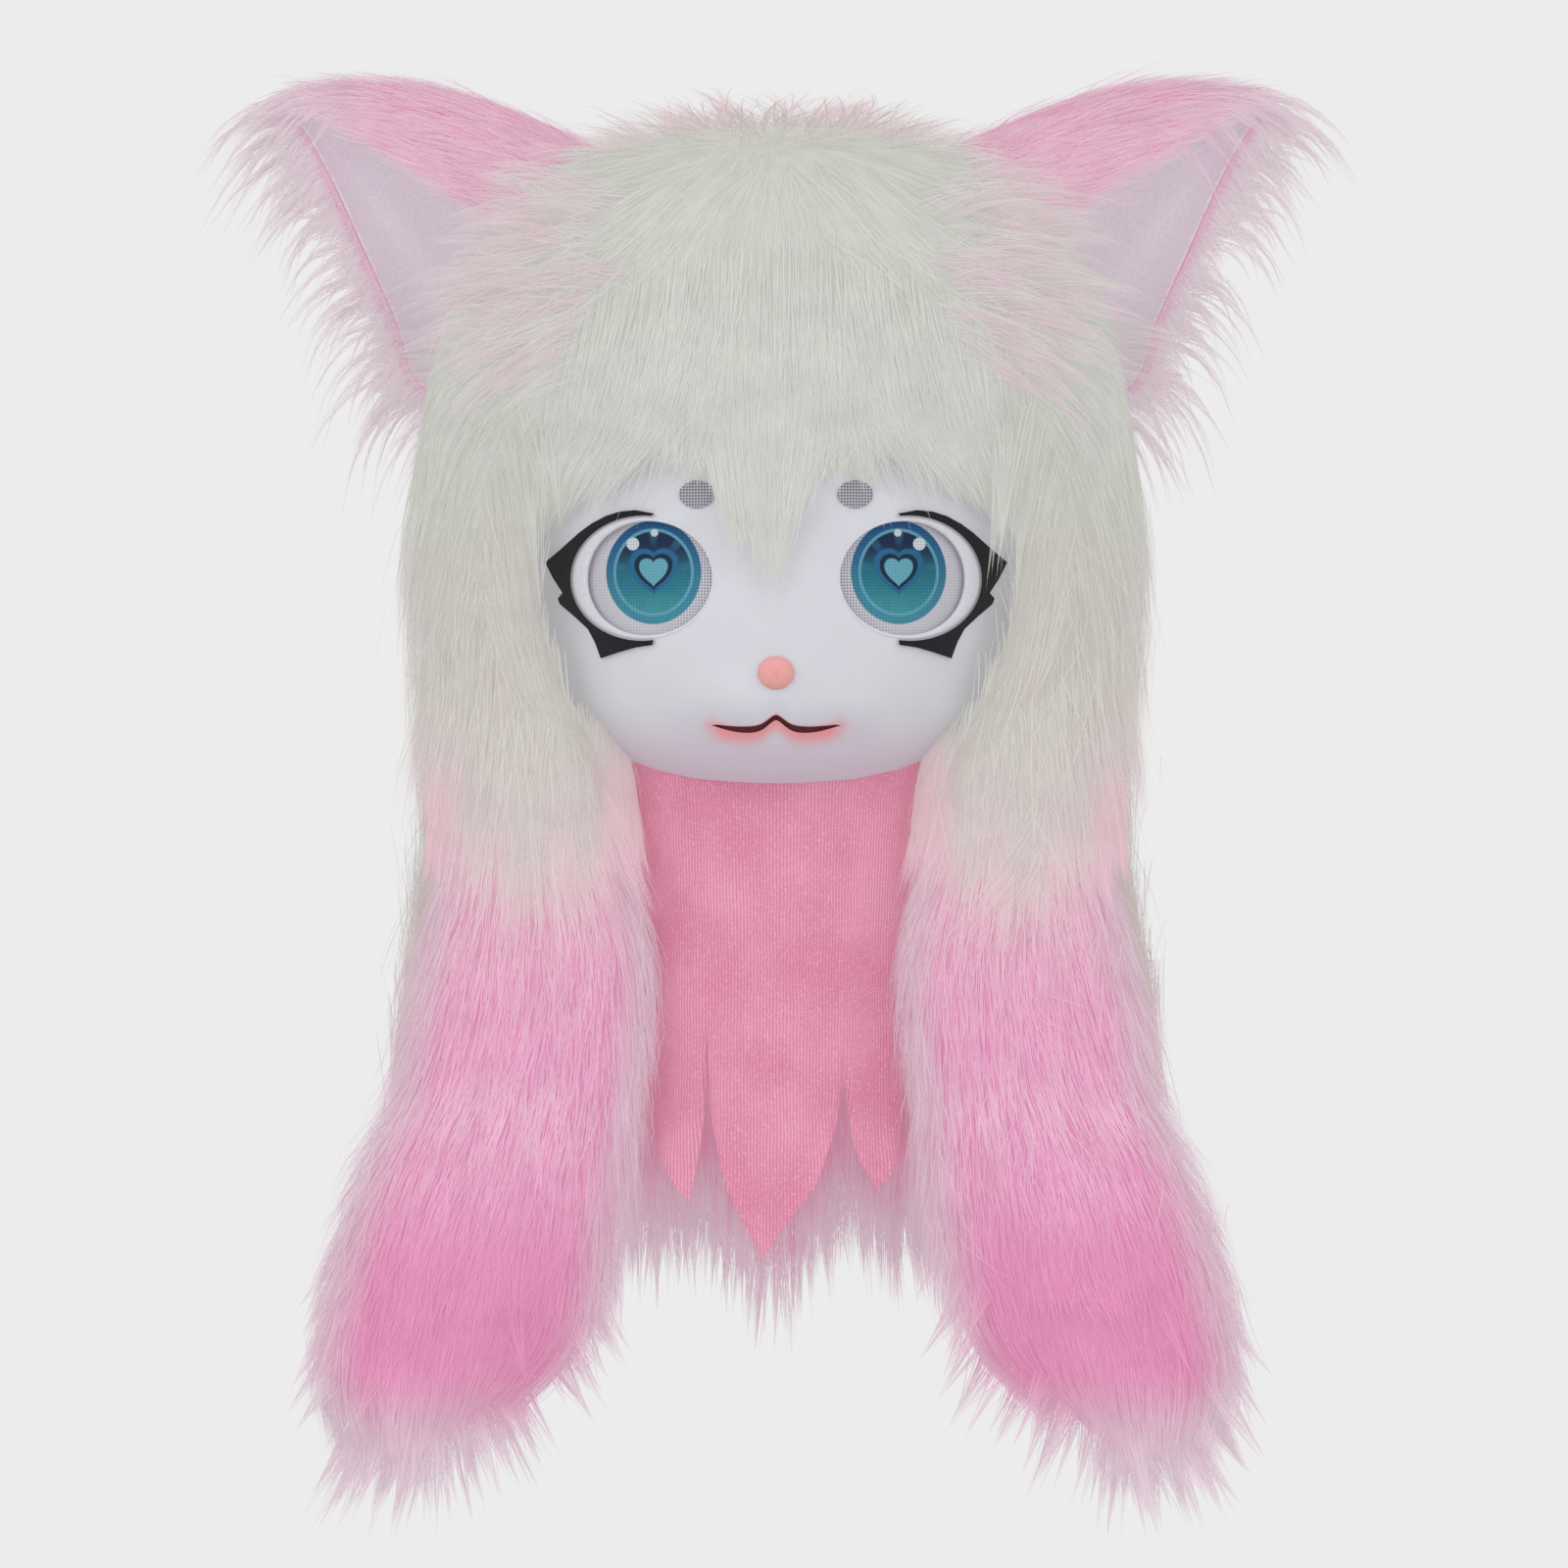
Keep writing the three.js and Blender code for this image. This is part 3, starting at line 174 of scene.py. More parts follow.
# The lash round an eye's outer side, as shares of the eye's width and height from its centre
LASH_ROWS = rows(
    "x z",
    (-0.08, 0.525),
    (0.05, 0.555),
    (0.16, 0.545),
    (0.26, 0.51),
    (0.36, 0.45),
    (0.445, 0.38),
    (0.59, 0.235),
    (0.69, 0.145),
    (0.635, 0.016),
    (0.565, -0.11),
    (0.6, -0.155),
    (0.585, -0.2),
    (0.485, -0.3),
    (0.43, -0.36),
    (0.385, -0.41),
    (0.335, -0.52),
    (0.295, -0.65),
    (0.16, -0.6),
    (0.05, -0.565),
    (-0.07, -0.545),
    (-0.075, -0.505),
    (0.1, -0.3),
    (0.1, 0.3),
)

# The bib's cut hem from left to right. x is the share of the neck's half width, down of the bib's length.
HEM_ROWS = rows(
    "x down",
    (-1.2, 0.67),
    (-0.82, 0.715),
    (-0.62, 0.81),
    (-0.47, 0.9),
    (-0.41, 0.77),
    (-0.375, 0.63),
    (-0.355, 0.74),
    (-0.27, 0.86),
    (-0.08, 1.0),
    (0.2, 0.867),
    (0.32, 0.76),
    (0.37, 0.67),
    (0.43, 0.79),
    (0.54, 0.876),
    (0.82, 0.715),
    (1.2, 0.67),
)

# The fringe's lower edge. x is the share of the face's half width, down of the head's height from its top.
FRINGE_ROWS = rows(
    "x down",
    (-1.06, 0.62),
    (-0.99, 0.59),
    (-0.89, 0.55),
    (-0.77, 0.515),
    (-0.61, 0.492),
    (-0.4, 0.485),
    (-0.3, 0.5),
    (-0.235, 0.545),
    (-0.18, 0.61),
    (-0.1, 0.655),
    (-0.02, 0.685),
    (0.035, 0.64),
    (0.08, 0.565),
    (0.14, 0.52),
    (0.25, 0.495),
    (0.43, 0.486),
    (0.6, 0.496),
    (0.79, 0.53),
    (0.99, 0.59),
    (1.06, 0.62),
)


# Shapes


def smooth(table, key, column, at):
    """A table's column at places between its rows, on a smooth curve through them."""
    x, y = table[key], table[column]
    slope = np.empty_like(y)
    slope[1:-1] = (y[2:] - y[:-2]) / (x[2:] - x[:-2])
    slope[0] = (y[1] - y[0]) / (x[1] - x[0])
    slope[-1] = (y[-1] - y[-2]) / (x[-1] - x[-2])
    at = np.clip(np.asarray(at, float), x[0], x[-1])
    i = np.clip(np.searchsorted(x, at) - 1, 0, len(x) - 2)
    span = x[i + 1] - x[i]
    t = (at - x[i]) / span
    rise = (t**3 - 2 * t**2 + t) * span * slope[i] + (t**3 - t**2) * span * slope[i + 1]
    return y[i] + (3 * t**2 - 2 * t**3) * (y[i + 1] - y[i]) + rise


def ease(low, high, at):
    """0 at low, 1 at high and smooth between them."""
    t = np.clip((at - low) / (high - low), 0, 1)
    return t * t * (3 - 2 * t)


def unit(v):
    return v / np.maximum(np.linalg.norm(v, axis=-1, keepdims=True), 1e-9)


def stack(*columns):
    return np.stack(np.broadcast_arrays(*columns), -1).astype(float)


def relief(x, z):
    """How far the face stands out of the plain shell."""
    down = (CROWN_Z - z) / HEAD_HEIGHT
    out = 0
    for cx, cd, across, high, reach in zip(*RELIEF_ROWS.values()):
        dx = np.abs(x) / (HEAD_WIDTH / 2) - cx
        out = out + reach * HEAD_FRONT * np.exp(-((dx / across) ** 2) - ((down - cd) / high) ** 2)
    return out


def reaches(table, down, **sizes):
    """How far a section goes out to each side named in the table's columns."""
    return [size * smooth(table, "down", column, down) for column, size in sizes.items()]


def head_section(down):
    return reaches(HEAD_ROWS, down, wide=HEAD_WIDTH / 2, front=HEAD_FRONT, back=HEAD_BACK)


def fur_section(down):
    return reaches(FUR_ROWS, down, wide=FUR_WIDE, front=FUR_FRONT, back=FUR_BACK)


def head_point(turn, down):
    """The shell's surface."""
    wide, front, back = head_section(down)
    z = CROWN_Z - np.asarray(down) * HEAD_HEIGHT
    x = wide * np.cos(turn)
    bump = np.maximum(0, -np.sin(turn)) * relief(x, z)
    y = (back - front) / 2 + (back + front) / 2 * np.sin(turn) - bump
    return stack(x, y, z)


def face_y(x, z):
    """How far back the face's surface is, behind a point of the front view."""
    wide, front, back = head_section((CROWN_Z - np.asarray(z, float)) / HEAD_HEIGHT)
    share = np.sqrt(np.maximum(0.02, 1 - (x / wide) ** 2))
    return (back - front) / 2 - ((back + front) / 2 + relief(x, z)) * share


def fur_point(turn, down):
    """The outside of the head's fur. Past its hem it falls, over the tails' tops in front."""
    wide, front, back = fur_section(down)
    z = FUR_TOP_Z - np.asarray(down) * (FUR_TOP_Z - FUR_HEM_Z)
    x = wide * np.cos(turn)
    y = (back - front) / 2 + (back + front) / 2 * np.sin(turn)
    over = np.maximum(0, y - sleeve_front(np.abs(x), z))
    return stack(x, y - over * ease(-215, -285, z) * ease(0.1, -0.3, np.sin(turn)), z)


def sleeve_front(x, z):
    """How far forward the white hair over a tail is."""
    down = (FUR_HEM_Z - np.asarray(z)) / TAIL_LENGTH
    wide = TAIL_WIDTH / 2 * smooth(TAIL_ROWS, "down", "wide", down) + SLEEVE_THICK
    deep = TAIL_DEPTH / 2 * smooth(TAIL_ROWS, "down", "deep", down) + SLEEVE_THICK
    middle = -TAIL_FRONT * smooth(TAIL_ROWS, "down", "middle", down)
    share = np.sqrt(np.maximum(0, 1 - ((x - TAIL_X) / wide) ** 2))
    return middle - deep * share**0.7


def face_half(z):
    """Half the width of the face's opening in the fur."""
    down = (MASK_TOP_Z - z) / (MASK_TOP_Z - FUR_HEM_Z)
    return FACE_HALF * smooth(FACE_ROWS, "down", "half", down)


def in_face(p, margin=0):
    """Whether a point is in front of the face's opening."""
    inside = np.abs(p[..., 0]) < face_half(p[..., 2]) - margin
    return inside & (p[..., 1] < MASK_BACK_Y) & (p[..., 2] < MASK_TOP_Z - margin)


def ear_point(turn, along, out=EAR_WALL):
    """The right ear's cup, with out for the distance outside it. Past the tip it bends down."""
    get = lambda column: smooth(EAR_ROWS, "along", column, along)
    turn = np.asarray(turn, float)
    c, s = np.cos(turn), np.sin(turn)
    lower_edge = ease(math.radians(150), math.radians(EAR_LOWER_TURN), turn)
    edge = lower_edge + ease(math.radians(-35), math.radians(EAR_RIM_TURN), turn)
    thick = out * get("wall") * (1 - edge * (1 - EAR_EDGE / EAR_WALL)) if out > 0 else out
    high = np.where(c > 0, EAR_UPPER * get("upper"), EAR_LOWER * get("lower")) + thick
    deep = np.where(s > 0, EAR_DEPTH * get("depth"), EAR_CURL * get("curl")) + thick
    ahead = np.asarray(along) * EAR_LENGTH
    bend = EAR_BEND * np.maximum(0, np.asarray(along) - EAR_BEND_FROM) ** 2
    x = EAR_X + math.sin(EAR_LEAN) * ahead - math.cos(EAR_LEAN) * c * high
    z = EAR_Z + math.cos(EAR_LEAN) * ahead + math.sin(EAR_LEAN) * c * high - bend
    return stack(x, EAR_Y + s * deep, z)


def tail_point(turn, down, out=0):
    """The right tail's surface, whose end slants up towards the neck. Past its end it falls straight."""
    get = lambda column: smooth(TAIL_ROWS, "down", column, down)
    low = ease(0.72, 1.0, np.asarray(down))
    x = TAIL_X + TAIL_SPLAY * get("out") + (TAIL_WIDTH / 2 * get("wide") + out - 5 * low) * np.cos(turn)
    y = -TAIL_FRONT * get("middle") + (TAIL_DEPTH / 2 * get("deep") + out) * np.sin(turn)
    z = FUR_HEM_Z - TAIL_LENGTH * np.asarray(down)
    return stack(x, y, z + low * (6 + 24 * ease(0.3, -1.0, np.cos(turn))))


def neck_point(turn, down, out=0):
    get = lambda column: smooth(NECK_ROWS, "down", column, down)
    x = (NECK_WIDTH / 2 * get("wide") + out) * np.cos(turn)
    y = NECK_Y + (NECK_DEPTH / 2 * get("deep") + out) * np.sin(turn)
    return stack(x, y, NECK_Z - np.asarray(down) * BIB_LENGTH)


def back_hair_point(turn, down, out=0):
    get = lambda column: smooth(BACK_HAIR_ROWS, "down", column, down)
    deep = FUR_BACK * FUR_ROWS["back"][-1]
    x = (BACK_HAIR_WIDTH / 2 * get("wide") + out) * np.cos(turn)
    y = (deep * get("deep") + out) * np.sin(turn)
    return stack(x, y, FUR_HEM_Z - np.asarray(down) * BACK_HAIR_LENGTH)


# Meshes


def make_mesh(name, points, faces, tint=None, normals=None, uv=None):
    """An object from points in millimetres and lists of faces, each an array of equal-sided faces."""
    mesh = bpy.data.meshes.new(name)
    mesh.vertices.add(len(points))
    mesh.vertices.foreach_set("co", (np.asarray(points, np.float32) * MM).ravel())
    corners = np.concatenate([f.ravel() for f in faces]).astype(np.int32)
    counts = np.concatenate([np.full(len(f), f.shape[1], np.int32) for f in faces])
    mesh.loops.add(len(corners))
    mesh.loops.foreach_set("vertex_index", corners)
    mesh.polygons.add(len(counts))
    mesh.polygons.foreach_set("loop_start", np.concatenate([[0], np.cumsum(counts)[:-1]]).astype(np.int32))
    mesh.polygons.foreach_set("use_smooth", np.ones(len(counts), bool))
    mesh.update(calc_edges=True)
    if uv is not None:
        layer = mesh.uv_layers.new(name="cloth")
        layer.uv.foreach_set("vector", np.asarray(uv, np.float32)[corners].ravel())
    if tint is not None:
        colour = mesh.color_attributes.new("tint", "FLOAT_COLOR", "POINT")
        solid = np.concatenate([tint, np.ones((len(tint), 1))], 1).astype(np.float32)
        colour.data.foreach_set("color", solid.ravel())
    if normals is not None:
        mesh.normals_split_custom_set_from_vertices(unit(normals).tolist())
    obj = bpy.data.objects.new(name, mesh)
    bpy.context.scene.collection.objects.link(obj)
    return obj


def grid_faces(rows_n, columns_n, closed=False):
    """Faces of a grid of points stored row by row, joined round if closed."""
    i = np.arange(rows_n - 1)[:, None]
    j = np.arange(columns_n if closed else columns_n - 1)[None, :]
    k = (j + 1) % columns_n
    quads = [i * columns_n + j, i * columns_n + k, (i + 1) * columns_n + k, (i + 1) * columns_n + j]
    return np.stack(np.broadcast_arrays(*quads), -1).reshape(-1, 4)


def finish_piece(obj, material, slot, *nodes):
    obj.data.materials.append(material)
    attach(obj, "root")
    if nodes:
        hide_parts(*nodes)
    return obj


def hand(side):
    return "right" if side > 0 else "left"


def mirror(obj, name):
    """The object's mirror image on the other side of the head."""
    mesh = obj.data.copy()
    co = np.empty(len(mesh.vertices) * 3, np.float32)
    mesh.vertices.foreach_get("co", co)
    co[::3] *= -1
    mesh.vertices.foreach_set("co", co)
    mesh.flip_normals()
    mesh.name = name
    other = bpy.data.objects.new(name, mesh)
    bpy.context.scene.collection.objects.link(other)
    return other


def prism(outline, near_y, far_y):
    """A front outline of x and z, run from one depth to another."""
    n = len(outline)
    x, z = np.asarray(outline, float).T
    points = np.concatenate([stack(x, near_y, z), stack(x, far_y, z)])
    ring = np.arange(n)
    sides = np.stack([ring, ring + n, (ring + 1) % n + n, (ring + 1) % n], -1)
    caps = np.stack([ring, ring[::-1] + n])
    return make_mesh("cutter", points, [sides, caps])


def cut(obj, cutter, operation):
    """Joins, cuts or clips an object by another, which is then removed."""
    modifier = obj.modifiers.new("cut", "BOOLEAN")
    modifier.object, modifier.operation, modifier.solver = cutter, operation, "EXACT"
    graph = bpy.context.evaluated_depsgraph_get()
    mesh = bpy.data.meshes.new_from_object(obj.evaluated_get(graph))
    obj.modifiers.clear()
    obj.data = mesh
    bpy.data.objects.remove(cutter)
    mesh.shade_smooth()
    mesh.set_sharp_from_angle(angle=math.radians(38))
    return obj


def wall_mesh(name, inside, outside):
    """The shell's wall between two distances from its surface, as a closed hollow mesh."""
    turns = np.linspace(0, 2 * np.pi, 96, endpoint=False)
    downs = np.concatenate([np.linspace(0, 0.06, 6)[1:], np.linspace(0.07, 0.985, 62), [0.995]])
    u, v = np.meshgrid(turns, downs)
    base, normal = lifted(head_point, u, v, 0)
    sheets = [base + normal * outside, base + normal * inside]
    points, faces = [], []
    for side, sheet in enumerate(sheets):
        start = sum(len(p) for p in points)
        flat = sheet.reshape(-1, 3)
        n = len(flat)
        poles = np.array([flat[:96].mean(0), flat[-96:].mean(0)])
        quads = grid_faces(len(downs), 96, closed=True)
        ring = np.arange(96)
        top = np.stack([np.full(96, n), (ring + 1) % 96, ring], -1)
        foot = np.stack([np.full(96, n + 1), n - 96 + ring, n - 96 + (ring + 1) % 96], -1)
        found = [quads[:, ::-1], top, foot]
        if side:
            found = [f[:, ::-1] for f in found]
        points += [flat, poles]
        faces += [f + start for f in found]
    return make_mesh(name, np.concatenate(points), faces)


def lifted(surface, u, v, height, eu=1e-3, ev=1e-3):
    """Points of a surface raised by a height, with its outward normals."""
    p = surface(u, v)
    along_u = surface(u + eu, v) - surface(u - eu, v)
    along_v = surface(u, v + ev) - surface(u, v - ev)
    n = unit(np.cross(along_v, along_u))
    return p + n * np.asarray(height)[..., None], n


def slab_faces(rows_n, columns):
    """Faces of two like grids of points, one behind the other, and of the rim round them."""
    count, quads = rows_n * columns, grid_faces(rows_n, columns)
    right_edge = np.arange(1, rows_n) * columns + columns - 1
    left_edge = np.arange(rows_n - 2, 0, -1) * columns
    edge = np.concatenate([np.arange(columns), right_edge, count - 2 - np.arange(columns - 1), left_edge])
    after = np.roll(edge, -1)
    rim = np.stack([edge, edge + count, after + count, after], -1)
    return [quads, quads[:, ::-1] + count, rim]


def face_slab(x0, x1, z0, z1, inside, outside, steps=48):
    """A thin closed layer over part of the face, between two distances in front of it."""
    x, z = np.meshgrid(np.linspace(x0, x1, steps), np.linspace(z1, z0, steps))
    surface = lambda a, b: stack(a, face_y(a, b), b)
    p, n = lifted(surface, x, z, 0, 0.5, 0.5)
    n = np.where(n[..., 1:2] > 0, -n, n)
    front, back = (p + n * outside).reshape(-1, 3), (p + n * inside).reshape(-1, 3)
    return make_mesh("layer", np.concatenate([front, back]), slab_faces(steps, steps))


def layer(name, outline, inside, outside):
    """A flat shape laid on the face."""
    outline = np.asarray(outline, float)
    (x0, z0), (x1, z1) = outline.min(0) - 2, outline.max(0) + 2
    obj = face_slab(x0, x1, z0, z1, inside, outside)
    obj.name = name
    return cut(obj, prism(outline, -400, 0), "INTERSECT")


def ellipse(x, z, half_width, half_height, sides=64):
    turn = np.linspace(0, 2 * np.pi, sides, endpoint=False)
    return np.stack([x + half_width * np.cos(turn), z + half_height * np.sin(turn)], -1)


def mouth_line(x):
    """The mouth's middle line: two shallow bows that meet in a peak."""
    share = np.abs(x) / (MOUTH_WIDTH / 2)
    bow = -BOW * np.sin(np.pi * np.minimum(1, share / BOW_END)) * MOUTH_OPEN
    return MOUTH_Z + bow + PEAK * MOUTH_OPEN * np.exp(-((share / PEAK_WIDTH) ** 2))


def mouth_outline():
    x = np.linspace(-MOUTH_WIDTH / 2, MOUTH_WIDTH / 2, 41)
    share = np.abs(x) / (MOUTH_WIDTH / 2)
    round_ends = np.sqrt(np.maximum(0.004, 1 - share**2))
    opening = MOUTH_OPEN / 2 * round_ends * (1 + 0.35 * np.sin(np.pi * share))
    lower = np.stack([x, mouth_line(x) - opening * 0.8], -1)
    upper = np.stack([x, mouth_line(x) + opening * 0.8], -1)
    return np.concatenate([lower, upper[::-1]])


# Strands of fur

COAT_STEPS, WISP_STEPS = 4, 5

# Each coat's strands and their width in millimetres, how many make a tuft, how far a tuft is drawn
# together, and the share of strands that stray
Coat = namedtuple("Coat", "strands width tuft drawn stray")
COATS = {
    "head": Coat(18500, 0.56, 14, 0.4, 0.03),
    "sleeve": Coat(8500, 0.56, 30, 0.85, 0.03),
    "face_side": Coat(2200, 0.5, 14, 0.5, 0.05),
    "tail": Coat(14200, 0.62, 24, 0.6, 0.04),
    "ear": Coat(8200, 0.56, 18, 0.5, 0.05),
    "neck": Coat(5000, 0.7, 15, 0.6, 0.05),
    "neck_inside": Coat(4200, 0.58, 30, 0.7, 0.01),
    "back": Coat(7300, 0.68, 18, 0.6, 0.05),
    "back_inside": Coat(1500, 0.6, 18, 0.6, 0.05),
}

# Loose locks: how many there are, each one's strands, how far apart they start and how wide they are.
# Every hem says itself how many locks hang from it
Locks = namedtuple("Locks", "count strands apart width")
LOCKS = {
    "hem": Locks(0, 12, 5, 0.6),
    "crown": Locks(150, 17, 5.5, 0.42),
    "ear_base": Locks(130, 13, 6, 0.42),
    "face": Locks(90, 17, 5, 0.54),
    "tail_end": Locks(64, 19, 5, 0.42),
    "ear_edge": Locks(120, 10, 2.2, 0.42),
    "ear_tip": Locks(90, 13, 3.2, 0.42),
    "ear_front": Locks(26, 9, 3, 0.4),
    "ear_back": Locks(80, 10, 4, 0.56),
    "neck": Locks(170, 17, 4.5, 0.42),
}
TAIL_SIDE_LOCKS = 44
FRINGE_LOCKS, FRINGE_STRANDS, FRINGE_WIDTH = 150, 11200, 0.6
EDGE_STRANDS, EDGE_WIDTH = 1700, 0.4


def thinned(count):
    return count


def scatter(kind, surface, turns, downs, rng, keep=None, density=None):
    """Random places on a surface for a coat's strands, evenly by area."""
    found_u, found_v, have, count = [], [], 0, thinned(COATS[kind].strands)
    while have < count:
        u, v = rng.uniform(*turns, count * 3), rng.uniform(*downs, count * 3)
        across = (surface(u + 1e-3, v) - surface(u - 1e-3, v)) / 2e-3
        along = (surface(u, v + 1e-3) - surface(u, v - 1e-3)) / 2e-3
        area = np.linalg.norm(np.cross(across, along), axis=-1)
        p = surface(u, v)
        if density is not None:
            area = area * density(p)
        chosen = rng.uniform(0, np.percentile(area, 97), len(u)) < area
        if keep is not None:
            chosen &= keep(p)
        found_u.append(u[chosen])
        found_v.append(v[chosen])
        have += int(chosen.sum())
    return np.concatenate(found_u)[:count], np.concatenate(found_v)[:count]


def combed(surface, u, v, length, lean, lift):
    """Strands that lie along a surface. lean turns them from the way down it, and lift raises their tips."""
    t = np.linspace(0, 1, COAT_STEPS)
    across = np.linalg.norm(surface(u + 1e-3, v) - surface(u - 1e-3, v), axis=-1) / 2e-3
    along = np.linalg.norm(surface(u, v + 1e-3) - surface(u, v - 1e-3), axis=-1) / 2e-3
    du = np.clip(length * np.sin(lean) / np.maximum(across, 1), -0.9, 0.9)
    dv = length * np.cos(lean) / np.maximum(along, 1)
    us = u[:, None] + du[:, None] * t
    vs = v[:, None] + dv[:, None] * t
    height = (lift * length)[:, None] * t * (1.5 - 0.5 * t)
    return lifted(surface, us, vs, height)


def joined(*sheets):
    """Sheets or strands as one part."""
    start, faces = 0, []
    for points, own, _, _ in sheets:
        faces += [f + start for f in own]
        start += len(points)
    points, _, tints, normals = zip(*sheets)
    return np.concatenate(points), faces, np.concatenate(tints), np.concatenate(normals)


def arcs(root, direction, fall, length, steps):
    """Strands that leave their roots in a direction and bend over."""
    t = np.linspace(0, 1, steps)[None, :, None]
    size = length[:, None, None]
    return root[:, None] + size * (direction[:, None] * t + fall[:, None] * t * t)


def clumped(paths, spacing, strength, rng):
    """Strands drawn towards the middle strand of their tuft, more so at their tips."""
    roots = paths[:, 0]
    count = max(2, int(len(paths) / spacing))
    leaders = rng.choice(len(paths), count, replace=False)
    tree = kdtree.KDTree(count)
    for i, leader in enumerate(leaders):
        tree.insert(roots[leader], i)
    tree.balance()
    own = np.array([tree.find(p)[1] for p in roots])
    pull = strength * rng.uniform(0.4, 1, count)[own] * rng.uniform(0.5, 1, len(paths))
    t = np.linspace(0, 1, paths.shape[1])
    weight = pull[:, None, None] * (t**1.5)[None, :, None]
    return paths * (1 - weight) + paths[leaders[own]] * weight, own


def wisps(kind, roots, directions, falls, lengths, tone, rng, facing=(0.0, -1.0, 0.25)):
    """Pointed locks, whose strands start round a root and draw together towards its tip."""
    look = LOCKS[kind]
    own = np.repeat(np.arange(len(roots)), thinned(look.strands))
    n, t = len(own), np.linspace(0, 1, WISP_STEPS)
    reach = rng.uniform(0.5, 1.0, n)[:, None]
    paths = arcs(roots[own], directions[own] * reach, falls[own] * reach**2, lengths[own], WISP_STEPS)
    apart = rng.normal(0, look.apart, (n, 3)) * np.array([1, 0.5, 1])
    paths += apart[:, None] * ((1 - reach * t) ** 1.4)[..., None]
    normals = np.broadcast_to(unit(np.array(facing)), (n, WISP_STEPS, 3))
    return dressed(paths, normals, own, tone, rng, look.width)


def hem_wisps(surface, turns, downs, n, tone, rng, length, ahead=0.0):
    """Locks that hang from the edge of a coat. ahead slants them to the front."""
    root, normal = lifted(surface, rng.uniform(*turns, n), rng.uniform(*downs, n), 1.0)
    direction = unit(normal * 0.12 + stack(rng.normal(0, 0.05, n), -ahead * rng.random(n), -1.0))
    outward = np.repeat(normal, thinned(LOCKS["hem"].strands), 0)[:, None]
    return wisps("hem", root, direction, 0 * direction, rng.uniform(*length, n), tone, rng, outward)


def ribbons(paths, normals, width, tint, rng, roll=0.5):
    """Tapered ribbons along the paths: their points, faces, colours and normals."""
    n, k, _ = paths.shape
    tangent = unit(np.gradient(paths, axis=1))
    side = unit(np.cross(tangent, normals))
    out = np.cross(side, tangent)
    turn = rng.uniform(-roll, roll, (n, 1, 1))
    side, out = side * np.cos(turn) + out * np.sin(turn), out * np.cos(turn) - side * np.sin(turn)
    t = np.linspace(0, 1, k)[:-1]
    half = (width[:, None] * (1 - 0.75 * t**1.6) * (0.55 + 0.45 * ease(0, 0.2, t)) / 2)[..., None]
    pairs = np.stack([paths[:, :-1] - side[:, :-1] * half, paths[:, :-1] + side[:, :-1] * half], 2)
    points = np.concatenate([pairs.reshape(n, -1, 3), paths[:, -1:]], 1)
    per = 2 * (k - 1) + 1
    start = (np.arange(n) * per)[:, None, None]
    i = np.arange(k - 2)
    quad = np.stack([2 * i, 2 * i + 1, 2 * i + 3, 2 * i + 2], -1)[None]
    quads = (start + quad).reshape(-1, 4)
    tips = (start[:, 0] + np.array([[per - 3, per - 2, per - 1]])).reshape(-1, 3)
    shade = unit(out * 0.25 + normals * 0.75)
    share = lambda a: np.concatenate([np.repeat(a[:, :-1], 2, axis=1), a[:, -1:]], 1).reshape(-1, 3)
    return points.reshape(-1, 3), [quads, tips], share(tint), share(shade)


def skin(surface, turns, downs, shape, tone, drop=False):
    """A closed or open sheet under the fur, without the faces that drop picks."""
    u, v = np.meshgrid(np.linspace(*turns, shape[0]), np.linspace(*downs, shape[1]))
    p, n = lifted(surface, u, v, 0)
    p, n = p.reshape(-1, 3), n.reshape(-1, 3)
    faces = grid_faces(shape[1], shape[0])[:, ::-1]
    if drop:
        faces = faces[~drop(p[faces].mean(1))]
    return p, [faces], tone(p, np.zeros(len(p)), np.zeros(len(p))), n


def fur_piece(name, parts, material, slot, node, flip=False):
    """Joins sheets and ribbons into one piece. flip mirrors it to the other side of the head."""
    points, faces, tints, normals = joined(*parts)
    if flip:
        points, normals = points * (-1, 1, 1), normals * (-1, 1, 1)
        faces = [f[:, ::-1] for f in faces]
    obj = make_mesh(name, points, faces, np.clip(tints, 0, 1), normals)
    return finish_piece(obj, material, slot, node)


def coat(kind, surface, u, v, length, lean, lift, tone, rng):
    """A coat of combed strands, tufted, with a few stray ones."""
    n, look = len(u), COATS[kind]
    stray = rng.random(n) < look.stray
    length = length * rng.uniform(0.7, 1.15, n) * np.where(stray, 1.15, 1)
    lift = lift * rng.uniform(0.5, 1.5, n) + np.where(stray, 0.14, 0)
    lean = lean + rng.normal(0, 0.1, n) + np.where(stray, rng.normal(0, 0.3, n), 0)
    paths, normals = combed(surface, u, v, length, lean, lift)
    paths, own = clumped(paths, look.tuft, look.drawn, rng)
    return dressed(paths, normals, own, tone, rng, look.width)


def dressed(paths, normals, own, tone, rng, width):
    """Ribbons with their colours, which vary from tuft to tuft and strand to strand."""
    n, k, _ = paths.shape
    t = np.broadcast_to(np.linspace(0, 1, k), (n, k))
    pick = rng.normal(0, 1, own.max() + 1)[own] * 0.6 + rng.normal(0, 1, n) * 0.5
    root = np.repeat(paths[:, :1], k, 1)
    tint = tone(root * 0.35 + paths * 0.65, t, pick[:, None])
    return ribbons(paths, normals, width * rng.uniform(0.7, 1.25, n), tint, rng)


# Colours


def srgb(*colour):
    c = np.array(colour, float) / 255
    return np.where(c <= 0.04045, c / 12.92, ((c + 0.055) / 1.055) ** 2.4)


# Painted light: the even glow that fur and cloth give off, as a share of their colour, which lifts their shade;
# the colour that the lamps light is dimmed by GLOW_DARKENS times that share
FUR_GLOW, CLOTH_GLOW, EAR_GLOW, NOSE_GLOW = 0.6, 0.35, 0.45, 0.1
GLOW_DARKENS = 0.65

